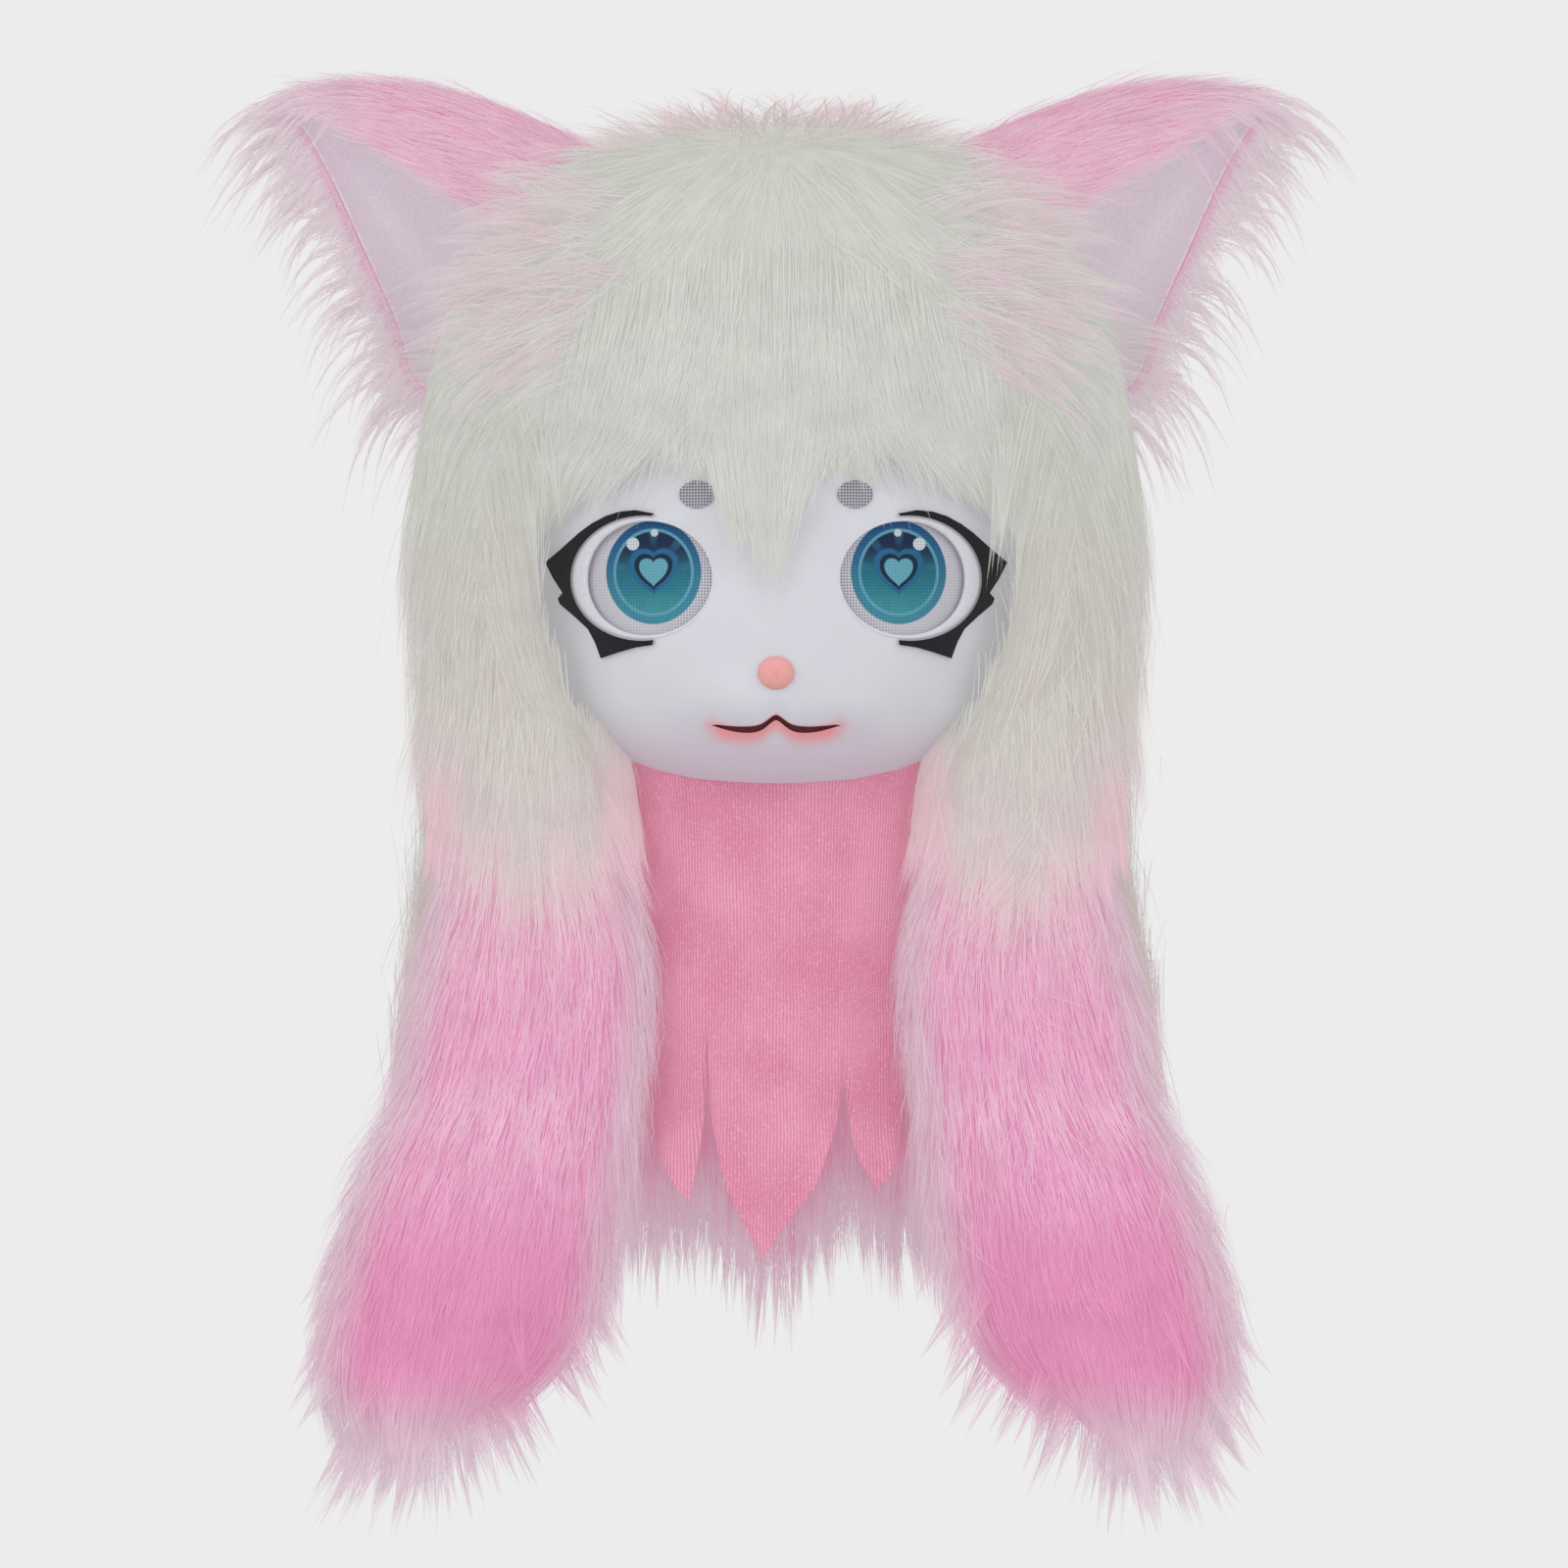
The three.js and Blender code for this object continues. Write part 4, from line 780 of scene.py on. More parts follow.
WHITE_ROOT, WHITE_TIP = srgb(194, 195, 188), srgb(195, 197, 191)
CREAM_TIP, ROSE_WHITE = srgb(198, 193, 189), srgb(216, 186, 195)
PINK_ROOT, PINK_TIP = srgb(215, 142, 180), srgb(217, 170, 195)
BAND_TIP, DEEP_TIP, PALE_END = srgb(219, 182, 202), srgb(214, 144, 180), srgb(208, 190, 199)
EAR_ROOT, EAR_TIP, EAR_HAZE = srgb(214, 138, 174), srgb(211, 172, 190), srgb(204, 192, 198)
NECK_ROOT, NECK_TIP = srgb(209, 142, 171), srgb(204, 184, 194)


def blend(a, b, t):
    t = np.asarray(t)[..., None]
    return a * (1 - t) + b * t


def shaded(colour, t, pick, root=0.96, vary=0.025):
    """Darker at the root, painted shade among the hairs, with a little variation."""
    value = (root + (1 - root) * ease(0, 0.7, t)) * (1 + vary * pick)
    return colour * np.asarray(value)[..., None]


def white_tone(p, t, pick):
    """Off-white, cooler on the crown, warmer down the sides, flushed with pink behind the crown and low down."""
    low = ease(-110, -230, p[..., 2])
    tip = blend(WHITE_TIP, CREAM_TIP, low)
    behind = ease(-5, 25, p[..., 2]) * ease(-20, 30, p[..., 1]) + 0.6 * ease(12, 34, p[..., 2])
    beside = ease(-262, -300, p[..., 2]) * ease(22, 44, np.abs(np.abs(p[..., 0]) - TAIL_X))
    ends = ease(-285, -370, p[..., 2] + 14 * np.cos(p[..., 0] / 5)) * ease(0.1, 0.9, t)
    flush = np.clip(behind * 0.5 + beside * 0.7 + ends, 0, 1) * ease(30, -20, p[..., 1] - 60)
    tip = blend(tip, ROSE_WHITE, flush)
    return shaded(blend(WHITE_ROOT * np.ones(3), tip, ease(0, 0.45, t)), t, pick, 0.97, 0.015)


def tail_tone(p, t, pick):
    """Pink, with a light band, a deeper lower half, soft painted shade in a fold and pale sides and ends."""
    z = p[..., 2]
    down = (FUR_HEM_Z - z) / TAIL_LENGTH
    off = np.abs(p[..., 0]) - TAIL_X - TAIL_SPLAY * smooth(TAIL_ROWS, "down", "out", down)
    beside = np.abs(off) / (TAIL_WIDTH / 2 * smooth(TAIL_ROWS, "down", "wide", down))
    tip = blend(PINK_TIP, BAND_TIP, np.exp(-(((z + 466) / 13) ** 2)))
    tip = blend(tip, DEEP_TIP, ease(-490, -550, z))
    tip = blend(tip, ROSE_WHITE, ease(-430, -350, z) * 0.85)
    tip = blend(tip, PALE_END, np.clip(ease(0.6, 1.05, beside) * 0.9 + ease(-588, -640, z), 0, 1))
    root = blend(PINK_ROOT, ROSE_WHITE, ease(-440, -330, z) * 0.4)
    root = blend(root, PALE_END, np.clip(ease(0.7, 1.05, beside) * 0.6 + ease(-600, -648, z) * 0.8, 0, 1))
    body = blend(root, tip, ease(0, 0.6, t))
    # Painted shade: a soft darkening along a fold low on the tail
    crease_shade = np.exp(-(((z + 571 + 0.004 * (off + 14) ** 2) / 3.5) ** 2)) * ease(42, 18, np.abs(off + 14))
    return shaded(body, t, pick) * (1 - 0.1 * crease_shade)[..., None]


def edge_tone(p, t, pick):
    """Pink roots and pale hazy ends, for the hair along an ear's edge."""
    return shaded(blend(EAR_ROOT, EAR_HAZE, ease(-0.25, 0.35, t)), t, pick)


def crown_tone(p, t, pick):
    """White with rosy ends, for the loose tufts on the crown."""
    return shaded(blend(WHITE_TIP, ROSE_WHITE, ease(0.1, 0.8, t) * 0.8), t, pick, 1.0, 0.02)


def base_tone(p, t, pick):
    """White flecked with pink, for the hair between the head and an ear."""
    return shaded(blend(WHITE_TIP, EAR_TIP, np.clip(0.26 + 0.24 * pick + 0.15 * t, 0, 0.8)), t, 0 * pick)


def ear_tone(p, t, pick):
    """Pink over the middle of the ear, hazy and pale at its edges and tip."""
    far = ease(190, 262, np.abs(p[..., 0]))
    low = ease(-20, -70, p[..., 2])
    haze = np.clip(far * 0.8 + low * 0.75 + ease(0.4, 1, t) * 0.4, 0, 0.95)
    body = blend(blend(EAR_ROOT, EAR_TIP, ease(0, 0.5, t)), EAR_HAZE, haze)
    return shaded(body, t, pick)


def neck_tone(p, t, pick):
    body = blend(NECK_ROOT, NECK_TIP, np.clip(ease(0.0, 0.7, t) * ease(-405, -510, p[..., 2]), 0, 1))
    return shaded(body, t, pick)


def back_tone(p, t, pick):
    """White above, a little rosy below."""
    return shaded(blend(WHITE_TIP, ROSE_WHITE, ease(-300, -430, p[..., 2]) * 0.5), t, pick)


# Materials


class Value:
    """A number inside a material, which adds, multiplies and divides as numbers do."""

    def __init__(self, nodes, socket):
        self.nodes, self.socket = nodes, socket

    def __add__(self, other):
        return self.nodes.math("ADD", self, other)

    def __sub__(self, other):
        return self.nodes.math("SUBTRACT", self, other)

    def __mul__(self, other):
        return self.nodes.math("MULTIPLY", self, other)

    def __truediv__(self, other):
        return self.nodes.math("DIVIDE", self, other)

    def __pow__(self, other):
        return self.nodes.math("POWER", self, float(other))

    def __abs__(self):
        return self.nodes.math("ABSOLUTE", self)


class Nodes:
    """A material's nodes, made by short calls. What goes in is a Value, a number, a colour or a socket."""

    def __init__(self, name, roughness=0.8, specular=0.12, sheen=0.0):
        self.material = bpy.data.materials.new(name)
        self.material.use_nodes = True
        self.tree = self.material.node_tree
        self.shader = self.tree.nodes["Principled BSDF"]
        settings = {
            "Roughness": roughness,
            "Specular IOR Level": specular,
            "Sheen Weight": sheen,
            "Sheen Roughness": 0.6,
        }
        for socket, value in settings.items():
            self.shader.inputs[socket].default_value = value

    def put(self, socket, value):
        if isinstance(value, Value):
            value = value.socket
        if isinstance(value, bpy.types.NodeSocket):
            self.tree.links.new(value, socket)
        elif isinstance(value, np.ndarray):
            socket.default_value = (*value.tolist(), 1)
        else:
            socket.default_value = value

    def add(self, kind, **inputs):
        node = self.tree.nodes.new(kind)
        for name, value in inputs.items():
            self.put(node.inputs[name.replace("_", " ")], value)
        return node

    def math(self, operation, *values):
        node = self.tree.nodes.new("ShaderNodeMath")
        node.operation = operation
        for socket, value in zip(node.inputs, values):
            self.put(socket, value)
        return Value(self, node.outputs[0])

    def root(self, value):
        return self.math("SQRT", value)

    def sine(self, value):
        return self.math("SINE", value)

    def bell(self, square):
        """1 where the square is 0, falling smoothly to 0."""
        return self.math("POWER", math.e, square * -1.0)

    def step(self, value, low, high):
        """0 at low, 1 at high and smooth between them."""
        node = self.add("ShaderNodeMapRange", Value=value, From_Min=low, From_Max=high)
        node.interpolation_type = "SMOOTHSTEP"
        return Value(self, node.outputs[0])

    def mix(self, factor, a, b, kind="MIX"):
        node = self.tree.nodes.new("ShaderNodeMix")
        node.data_type, node.blend_type = "RGBA", kind
        for i, value in ((0, factor), (6, a), (7, b)):
            self.put(node.inputs[i], value)
        return node.outputs[2]

    def place(self):
        """The object's own place in metres, whole and as x, y and z."""
        at = self.tree.nodes.new("ShaderNodeTexCoord").outputs["Object"]
        return at, *self.split(at)

    def split(self, socket):
        node = self.tree.nodes.new("ShaderNodeSeparateXYZ")
        self.tree.links.new(socket, node.inputs[0])
        return [Value(self, output) for output in node.outputs]

    def noise(self, at, scale, detail=3.0):
        node = self.add("ShaderNodeTexNoise", Vector=at, Scale=scale, Detail=detail)
        return Value(self, node.outputs[0])

    def bump(self, height, distance, strength=0.5):
        node = self.add("ShaderNodeBump", Height=height, Distance=distance, Strength=strength)
        self.tree.links.new(node.outputs[0], self.shader.inputs["Normal"])

    def colour(self, value, glow=0.0):
        """Sets the colour. glow is the share of it given off evenly as a glow, painted light that lifts the
        shade; the lit colour is dimmed to match.
        """
        if glow:
            self.put(self.shader.inputs["Emission Color"], value)
            self.shader.inputs["Emission Strength"].default_value = glow
            self.material.cycles.emission_sampling = "NONE"
            value = self.mix(1.0, value, np.full(3, 1 - GLOW_DARKENS * glow), "MULTIPLY")
        self.put(self.shader.inputs["Base Color"], value)
        return self.material


def fur_material(name):
    n = Nodes(name)
    at = n.place()[0]
    tint = n.tree.nodes.new("ShaderNodeVertexColor")
    tint.layer_name = "tint"
    vary = n.step(n.noise(at, 60.0), 0.2, 0.8)
    darker = n.mix(1.0, tint.outputs[0], srgb(248, 246, 247), "MULTIPLY")
    return n.colour(n.mix(vary, darker, tint.outputs[0]), FUR_GLOW)


def dots(n, x, z, pitch):
    """0 between a net's holes and 1 in them, which lie in staggered rows."""
    turns = math.pi / (pitch * MM)
    return n.step(n.sine((x + z) * turns) * n.sine((z - x) * turns), 0.1, 0.6)


def mask_material():
    """Soft brushed cloth, airbrushed pink under the mouth, with painted grey-lilac shade under the chin and
    round the mouth's line.
    """
    n = Nodes("mask_cloth", roughness=0.9, sheen=0.35)
    at, x, _, z = n.place()
    share = abs(x) / (MOUTH_WIDTH / 2 * MM)
    bow = n.sine(n.math("MINIMUM", share, BOW_END) * (math.pi / BOW_END)) * -BOW
    peak = n.bell((share / PEAK_WIDTH) ** 2)
    above = z - ((bow + peak * PEAK) * (MOUTH_OPEN * MM) + MOUTH_Z * MM)
    below = n.step(above, -0.0112, -0.0008) * n.step(above, 0.0035, 0.0)
    corners = n.bell(((share - 1.0) / 0.12) ** 2 + (above / 0.0035) ** 2)
    pink = n.math("MAXIMUM", below * n.step(share, 1.18, 0.8), corners * 0.6)
    cloth = n.mix(n.step(n.noise(at, 35.0), 0.3, 0.7), srgb(193, 193, 200), srgb(197, 197, 204))
    # Painted shade: grey-lilac below the mouth, under the chin
    cloth = n.mix(n.step(z, -0.262, -0.3), cloth, srgb(186, 174, 187))
    # Painted shade: grey-lilac round the mouth's line
    mouth_shade = n.step(abs(above), 0.016, 0.002) * n.step(share, 1.9, 0.9)
    cloth = n.mix(mouth_shade * 0.3, cloth, srgb(170, 160, 172))
    grain = n.noise(at, 900.0, 2.0)
    cloth = n.mix(n.step(grain, 0.45, 0.75) * 0.2, cloth, srgb(183, 182, 191))
    n.bump(grain, 0.0003, 0.3)
    return n.colour(n.mix(pink * 0.9, cloth, srgb(212, 120, 124)), CLOTH_GLOW)


def heart_distance(n, x, z, size):
    """A plain heart's outline is where this is 1."""
    u = abs(x) / (1.12 * size * MM)
    v = z / (0.94 * size * MM) - n.root(u) * 0.58
    return n.root(u**2 + abs(v) ** 2)


# The printed iris: how far it is moved towards the nose and up, and its half width and half height
IRIS_IN, IRIS_UP, IRIS_WIDTH, IRIS_HEIGHT = 5.5, 3, 24.5, 26.5
HEART_SIZE, HEART_DOWN = 11.0, 1.5
EYE_NET_PITCH = 1.5


def eye_material(side):
    """A see-through net with a printed iris: rings of blue round a plain heart, and round highlights. Its holes
    are painted dark with the shade inside the head.
    """
    n = Nodes("eye_print_" + hand(side), roughness=0.7, specular=0.25)
    _, x, _, z = n.place()
    dx, dz = x - side * (EYE_X - IRIS_IN) * MM, z - (EYE_Z + IRIS_UP) * MM
    r = n.root((dx / (IRIS_WIDTH * MM)) ** 2 + (dz / (IRIS_HEIGHT * MM)) ** 2)
    height = n.step(dz, -IRIS_HEIGHT * MM, IRIS_HEIGHT * MM)
    body = n.mix(n.step(height, 0.35, 0.9), srgb(34, 112, 130), srgb(14, 34, 66))
    body = n.mix(n.step(height, 0.35, 0.0), body, srgb(60, 140, 146))
    petals = n.step(n.sine(n.math("ARCTAN2", dz, dx) * 9.0), 0.2, 0.9) * n.step(r, 0.42, 0.7)
    iris = n.mix(petals * 0.35, body, srgb(54, 120, 156))
    heart = heart_distance(n, dx, dz + HEART_DOWN * MM, HEART_SIZE)
    for edge, inner, colour in (
        (1.06, 0.98, srgb(30, 98, 138)),
        (0.82, 0.76, srgb(12, 34, 56)),
        (0.62, 0.56, srgb(96, 160, 176)),
    ):
        iris = n.mix(n.step(heart, edge, inner), iris, colour)
    ring = n.mix(height, srgb(60, 134, 152), srgb(28, 80, 128))
    iris = n.mix(n.step(r, 0.765, 0.79), iris, srgb(92, 152, 172))
    iris = n.mix(n.step(r, 0.825, 0.85), iris, ring)
    for cx, cz, size in ((10.5 * side, 14.5, 3.2), (-0.5 * side, 20.0, 1.9)):
        away = n.root((dx - cx * MM) ** 2 + (dz - cz * MM) ** 2)
        iris = n.mix(n.step(away, (size + 0.3) * MM, (size - 0.3) * MM), iris, srgb(196, 202, 210))
    holes = dots(n, x, z, EYE_NET_PITCH)
    # Painted shade: the net's holes are dark with the shade inside the head, more so towards the nose, and
    # darken the print as well
    hole_shade = holes * (n.step(dx * side, 0.012, -0.03) * 0.6 + 0.25)
    net = n.mix(hole_shade, srgb(192, 190, 198), srgb(96, 94, 104))
    iris = n.mix(holes * 0.35, iris, srgb(20, 40, 60))
    n.bump(holes, 0.0002, 0.4)
    return n.colour(n.mix(n.step(r, 1.0, 0.975), net, iris))


def plain_cloth(name, light, dark, scale, roughness=0.9, sheen=0.2, depth=0.0004, glow=0.0):
    """Cloth with a fine uneven grain."""
    n = Nodes(name, roughness, sheen=sheen)
    at = n.place()[0]
    grain = n.noise(at, scale)
    n.bump(grain, depth, 0.5)
    return n.colour(n.mix(n.step(grain, 0.3, 0.7), dark, light), glow)


def net_cloth(name, light, dark, pitch):
    """Net with dark holes."""
    n = Nodes(name, roughness=0.85, specular=0.2)
    _, x, _, z = n.place()
    holes = dots(n, x, z, pitch)
    n.bump(holes, 0.0003, 0.4)
    return n.colour(n.mix(holes, light, dark))


RIB_PITCH = 1.7


def knit_material():
    """Rib knit: fine wavering ribs down the cloth, with painted shade between them, fuzz and blotchy dye."""
    n = Nodes("bib_knit", roughness=0.92, specular=0.08, sheen=0.2)
    uv = n.tree.nodes.new("ShaderNodeUVMap")
    uv.uv_map = "cloth"
    across = n.split(uv.outputs[0])[0]
    at = n.place()[0]
    ribs = n.sine((across + n.noise(at, 45.0, 4.0) * 2.2) * (2 * math.pi / RIB_PITCH))
    fuzz = n.noise(at, 900.0, 3.0)
    height = ribs + fuzz * 1.8
    n.bump(height, 0.0004, 0.45)
    blotch = n.step(n.noise(at, 24.0, 6.0), 0.3, 0.72)
    dye = n.mix(blotch, srgb(209, 131, 157), srgb(222, 154, 176))
    dye = n.mix(n.step(fuzz, 0.5, 0.66) * 0.5, dye, srgb(232, 182, 197))
    # Painted shade: darker in the grooves between the ribs, where the knit's height is low
    return n.colour(n.mix(n.step(height, 1.5, 0.1) * 0.6, dye, srgb(196, 108, 140)), CLOTH_GLOW)


# The face


def face_mask():
    obj = wall_mesh("mask", -SHELL_WALL, 0)
    wedge = neck_wedge()
    front = prism([(-200, -400), (200, -400), (200, MASK_TOP_Z), (-200, MASK_TOP_Z)], -300, MASK_BACK_Y)
    cut(obj, front, "INTERSECT")
    cut(obj, wedge, "DIFFERENCE")
    for side in (-1, 1):
        hole = ellipse(side * EYE_X, EYE_Z, EYE_WIDTH / 2 + 0.05, EYE_HEIGHT / 2 + 0.05)
        cut(obj, prism(hole, -300, MASK_BACK_Y), "DIFFERENCE")
    cut(obj, prism(mouth_outline(), -300, MASK_BACK_Y), "DIFFERENCE")
    return finish_piece(obj, mask_material(), "mask_cloth", "face_mask")


def neck_wedge():
    """The space below the neck's slanting rim."""
    front_z, back_z = CROWN_Z - RIM_FRONT_DROP, CROWN_Z - RIM_BACK_DROP
    slope = (back_z - front_z) / (HEAD_BACK + HEAD_FRONT)
    y = np.array([-500, 500, 500, -500.0])
    z = np.array([0, 0, -900, -900.0])
    z[:2] = front_z + slope * (y[:2] + HEAD_FRONT)
    points = np.concatenate([stack(-500, y, z), stack(500, y, z)])
    ring = np.arange(4)
    sides = np.stack([ring, ring + 4, (ring + 1) % 4 + 4, (ring + 1) % 4], -1)
    return make_mesh("wedge", points, [sides[:, ::-1], np.stack([ring[::-1], ring + 4])[:, ::-1]])


def hood_shell():
    obj = wall_mesh("hood", -SHELL_WALL, 0)
    block = [(-200, -400), (200, -400), (200, MASK_TOP_Z + GAP), (-200, MASK_TOP_Z + GAP)]
    cut(obj, prism(block, -300, MASK_BACK_Y + GAP), "DIFFERENCE")
    cut(obj, neck_wedge(), "DIFFERENCE")
    lining = plain_cloth("shell_lining", srgb(214, 208, 204), srgb(190, 184, 180), 260.0)
    return finish_piece(obj, lining, "shell_lining", "hood_shell")


def eye_rim(side, material):
    """The padded rim of an eye: broad and raised at the outer side, thin by the nose."""
    turn = np.linspace(0, 2 * np.pi, 96, endpoint=False)
    outer = 0.5 + 0.5 * np.cos(turn)
    width = RIM_INNER + (RIM_OUTER - RIM_INNER) * outer**1.3
    proud = 0.12 + 2.3 * outer
    inner_half = ((0, -3.8), (0, 0.0), (0.12, 0.75), (0.35, 1.0))
    profile = inner_half + ((0.62, 0.95), (0.88, 0.5), (1, -0.3), (1, -3.8))
    rings = []
    for across, up in profile:
        inset = width * across
        x = EYE_X + (EYE_WIDTH / 2 - inset) * np.cos(turn)
        z = EYE_Z + (EYE_HEIGHT / 2 - inset * 0.55) * np.sin(turn)
        height = up * proud if up > -1 else up
        rings.append(stack(side * x, face_y(x, z) - height, z))
    points = np.concatenate(rings)
    faces = grid_faces(len(profile), 96, closed=True)
    ring = np.arange(96)
    last = (len(profile) - 1) * 96
    back = np.stack([ring, last + ring, last + (ring + 1) % 96, (ring + 1) % 96], -1)
    faces = np.concatenate([faces, back])
    name = "rim_" + hand(side)
    obj = make_mesh(name, points, [faces if side > 0 else faces[:, ::-1]])
    obj.data.set_sharp_from_angle(angle=math.radians(60))
    return finish_piece(obj, material, "mask_cloth", name.replace("rim", "eye_rim"))


def screen(name, outline_x, outline_z, half_width, half_height):
    """A thin curved disc behind the face's wall."""
    reach, turn = np.linspace(0.04, 1, 18), np.linspace(0, 2 * np.pi, 64, endpoint=False)
    t, r = np.meshgrid(turn, reach)
    x = outline_x + half_width * r * np.cos(t)
    z = outline_z + half_height * r * np.sin(t)
    y = face_y(x, z)
    front = stack(x, y + SHELL_WALL + 1.6, z).reshape(-1, 3)
    back = stack(x, y + SHELL_WALL + 2.6, z).reshape(-1, 3)
    n = len(front)
    faces = grid_faces(len(reach), 64, closed=True)
    ring = np.arange(64)
    cap = ring[None, ::-1]
    last, following = n - 64 + ring, n - 64 + (ring + 1) % 64
    rim = np.stack([last, following, following + n, last + n], -1)
    sides = [faces[:, ::-1], cap[:, ::-1], faces + n, cap + n, rim[:, ::-1]]
    return make_mesh(name, np.concatenate([front, back]), sides)


def face_details():
    mask_cloth = plain_cloth("rim_cloth", srgb(202, 201, 208), srgb(193, 192, 200), 600.0, glow=CLOTH_GLOW)
    felt = plain_cloth("lash_felt", srgb(26, 27, 31), srgb(10, 11, 14), 900.0, 0.85, 0.1)
    net = net_cloth("brow_net", srgb(166, 164, 172), srgb(70, 68, 76), 1.5)
    lash_x = EYE_X + LASH_ROWS["x"] * EYE_WIDTH
    lash_z = EYE_Z + LASH_ROWS["z"] * EYE_HEIGHT
    lash = layer("lash_r", np.stack([lash_x, lash_z], -1), 0.4, 2.2)
    hole = ellipse(EYE_X, EYE_Z, EYE_WIDTH / 2 + 0.6, EYE_HEIGHT / 2 + 0.6)
    cut(lash, prism(hole, -400, 0), "DIFFERENCE")
    brow = layer("brow_r", ellipse(BROW_X, BROW_Z, BROW_WIDTH / 2, BROW_HEIGHT / 2, 32), 0.3, 1.3)
    for obj, material, slot in ((lash, felt, "lash_felt"), (brow, net, "brow_cloth")):
        kind = obj.name[:4]
        finish_piece(mirror(obj, kind + "_l"), material, slot, kind + "_left")
        finish_piece(obj, material, slot, kind + "_right")
    for side in (1, -1):
        word = hand(side)
        eye_rim(side, mask_cloth)
        disc = screen("eye_" + word, side * EYE_X, EYE_Z, EYE_WIDTH / 2 + 3, EYE_HEIGHT / 2 + 3)
        finish_piece(disc, eye_material(side), "eye_print", "eye_screen_" + word)
    mouth = screen("mouth", 0, MOUTH_Z, MOUTH_WIDTH / 2 + 2, MOUTH_OPEN + 3.5)
    dark = plain_cloth("mouth_cloth", srgb(104, 62, 60), srgb(76, 42, 42), 700.0)
    finish_piece(mouth, dark, "mouth_cloth", "mouth_screen")
    nose()


def nose():
    """A small plush dome with a slightly uneven nap."""
    up, turn = np.linspace(0.02, 0.62 * np.pi, 28), np.linspace(0, 2 * np.pi, 56, endpoint=False)
    t, a = np.meshgrid(turn, up)
    nap = 1 + 0.012 * np.sin(23 * t + 9 * a) * np.sin(31 * a)
    x = NOSE_WIDTH / 2 * np.sin(a) * np.cos(t) * nap
    z = NOSE_HEIGHT / 2 * np.sin(a) * np.sin(t) * nap
    base = face_y(0, NOSE_Z)
    y = base - NOSE_PROUD * np.cos(a) * nap
    y = np.where(np.cos(a) < 0, face_y(x, NOSE_Z + z) - GAP, np.minimum(y, face_y(x, NOSE_Z + z) - GAP))
    points = stack(x, y, NOSE_Z + z).reshape(-1, 3)
    n = len(points)
    faces = grid_faces(len(up), 56, closed=True)
    caps = [np.arange(56)[None, ::-1], (n - 56 + np.arange(56))[None]]
    obj = make_mesh("nose_tip", points, [faces[:, ::-1], caps[0][:, ::-1], caps[1][:, ::-1]])
    plush = plain_cloth("nose_plush", srgb(224, 160, 157), srgb(216, 150, 147), 1400.0, 0.95, glow=NOSE_GLOW)
    finish_piece(obj, plush, "nose_plush", "nose")


# The fur


def head_fur(material):
    rng = np.random.default_rng(11)
    kept = lambda p: ~in_face(p, 2)
    more_in_front = lambda p: np.where(p[..., 1] < 0, 1.4, 0.7)
    u, v = scatter("head", fur_point, (-np.pi, np.pi), (0.0, 1.0), rng, kept, more_in_front)
    x, y, z = fur_point(u, v).T
    wide = np.abs(x)
    front = ease(20, -60, y)
    away = 0.25 * ease(4, 20, wide) + 0.75 * ease(15, 120, wide) * ease(-150, -40, z)
    ear_base = ease(50, 95, wide) * ease(-120, -70, z) * ease(35, 0, z)
    crown = ease(0, 28, z)
    edge = ease(135, 175, wide)
    below_ear = ease(145, 165, wide) * ease(-150, -120, z) * ease(-20, -50, z)
    lean = front * np.sign(x) * (away + 0.55 * ear_base - 0.1 * ease(-150, -230, z)) * (1 - 0.8 * below_ear)
    lean = lean + crown * rng.normal(0, 0.5, len(u))
    length = 52 + 44 * ease(-90, -220, z) * front + 14 * ease(-90, -200, z) - 14 * crown + 10 * ear_base
    length = length * (1 - 0.45 * below_ear)
    lift = 0.035 + 0.4 * crown + 0.04 * ear_base + 0.11 * edge * (1 - below_ear)
    parts = [
        skin(fur_point, (-np.pi, np.pi), (0.0, 1.06), (129, 84), white_tone, lambda p: in_face(p, -5)),
        coat("head", fur_point, u, v, length, lean, lift, white_tone, rng),
        hem_wisps(fur_point, (-0.35, np.pi + 0.35), (0.86, 1.04), 210, white_tone, rng, (34, 62)),
        crown_wisps(rng),
        ear_base_wisps(rng, 1),
        ear_base_wisps(rng, -1),
    ]
    fur_piece("head_coat", parts, material, "white_fur", "head_fur")


def crown_wisps(rng):
    """Loose tufts that stand up along the crown and fall to its sides."""
    n = LOCKS["crown"].count
    x, y = rng.uniform(-84, 86, n), rng.uniform(-34, 40, n)
    root = stack(x, y, FUR_TOP_Z - 9 - 21 * (np.abs(x) / 84) ** 2 - 0.006 * y**2)
    side = np.sign(x + rng.normal(0, 30, n))
    direction = unit(stack(side * rng.uniform(0.0, 0.7, n), rng.normal(0, 0.15, n), 0.8))
    fall = stack(side * rng.uniform(0.05, 0.45, n), 0, -0.3)
    return wisps("crown", root, direction, fall, rng.uniform(24, 50, n), crown_tone, rng, (0, -1, 0.6))


def ear_base_wisps(rng, side):
    """Hair that sweeps from the head over an ear's foot."""
    n = LOCKS["ear_base"].count
    x, z = 72 + 72 * rng.beta(1.6, 1.2, n), -98 + 108 * rng.beta(1.4, 1.2, n)
    root = curtain_point(x, z) - np.array([0, 1, 0])
    rise = 0.42 * ease(-95, 10, z) - 0.34 * ease(-50, -100, z)
    direction = unit(stack(0.9, rng.normal(0, 0.06, n), rise + rng.normal(0, 0.1, n)))
    fall = np.tile([0.05, 0.28, -0.3], (n, 1))
    flip = np.array([side, 1, 1])
    root, direction, fall = root * flip, direction * flip, fall * flip
    return wisps("ear_base", root, direction, fall, rng.uniform(26, 60, n), base_tone, rng)


def curtain_point(x, z):
    """The sheet that the hair over the forehead hangs in: the fur's front above, close to the face below."""
    outer, near = curtain_depth(x, np.asarray(z)), face_y(x, z) - 9
    return stack(x, outer + (near - outer) * ease(-112, -172, np.asarray(z)), z)


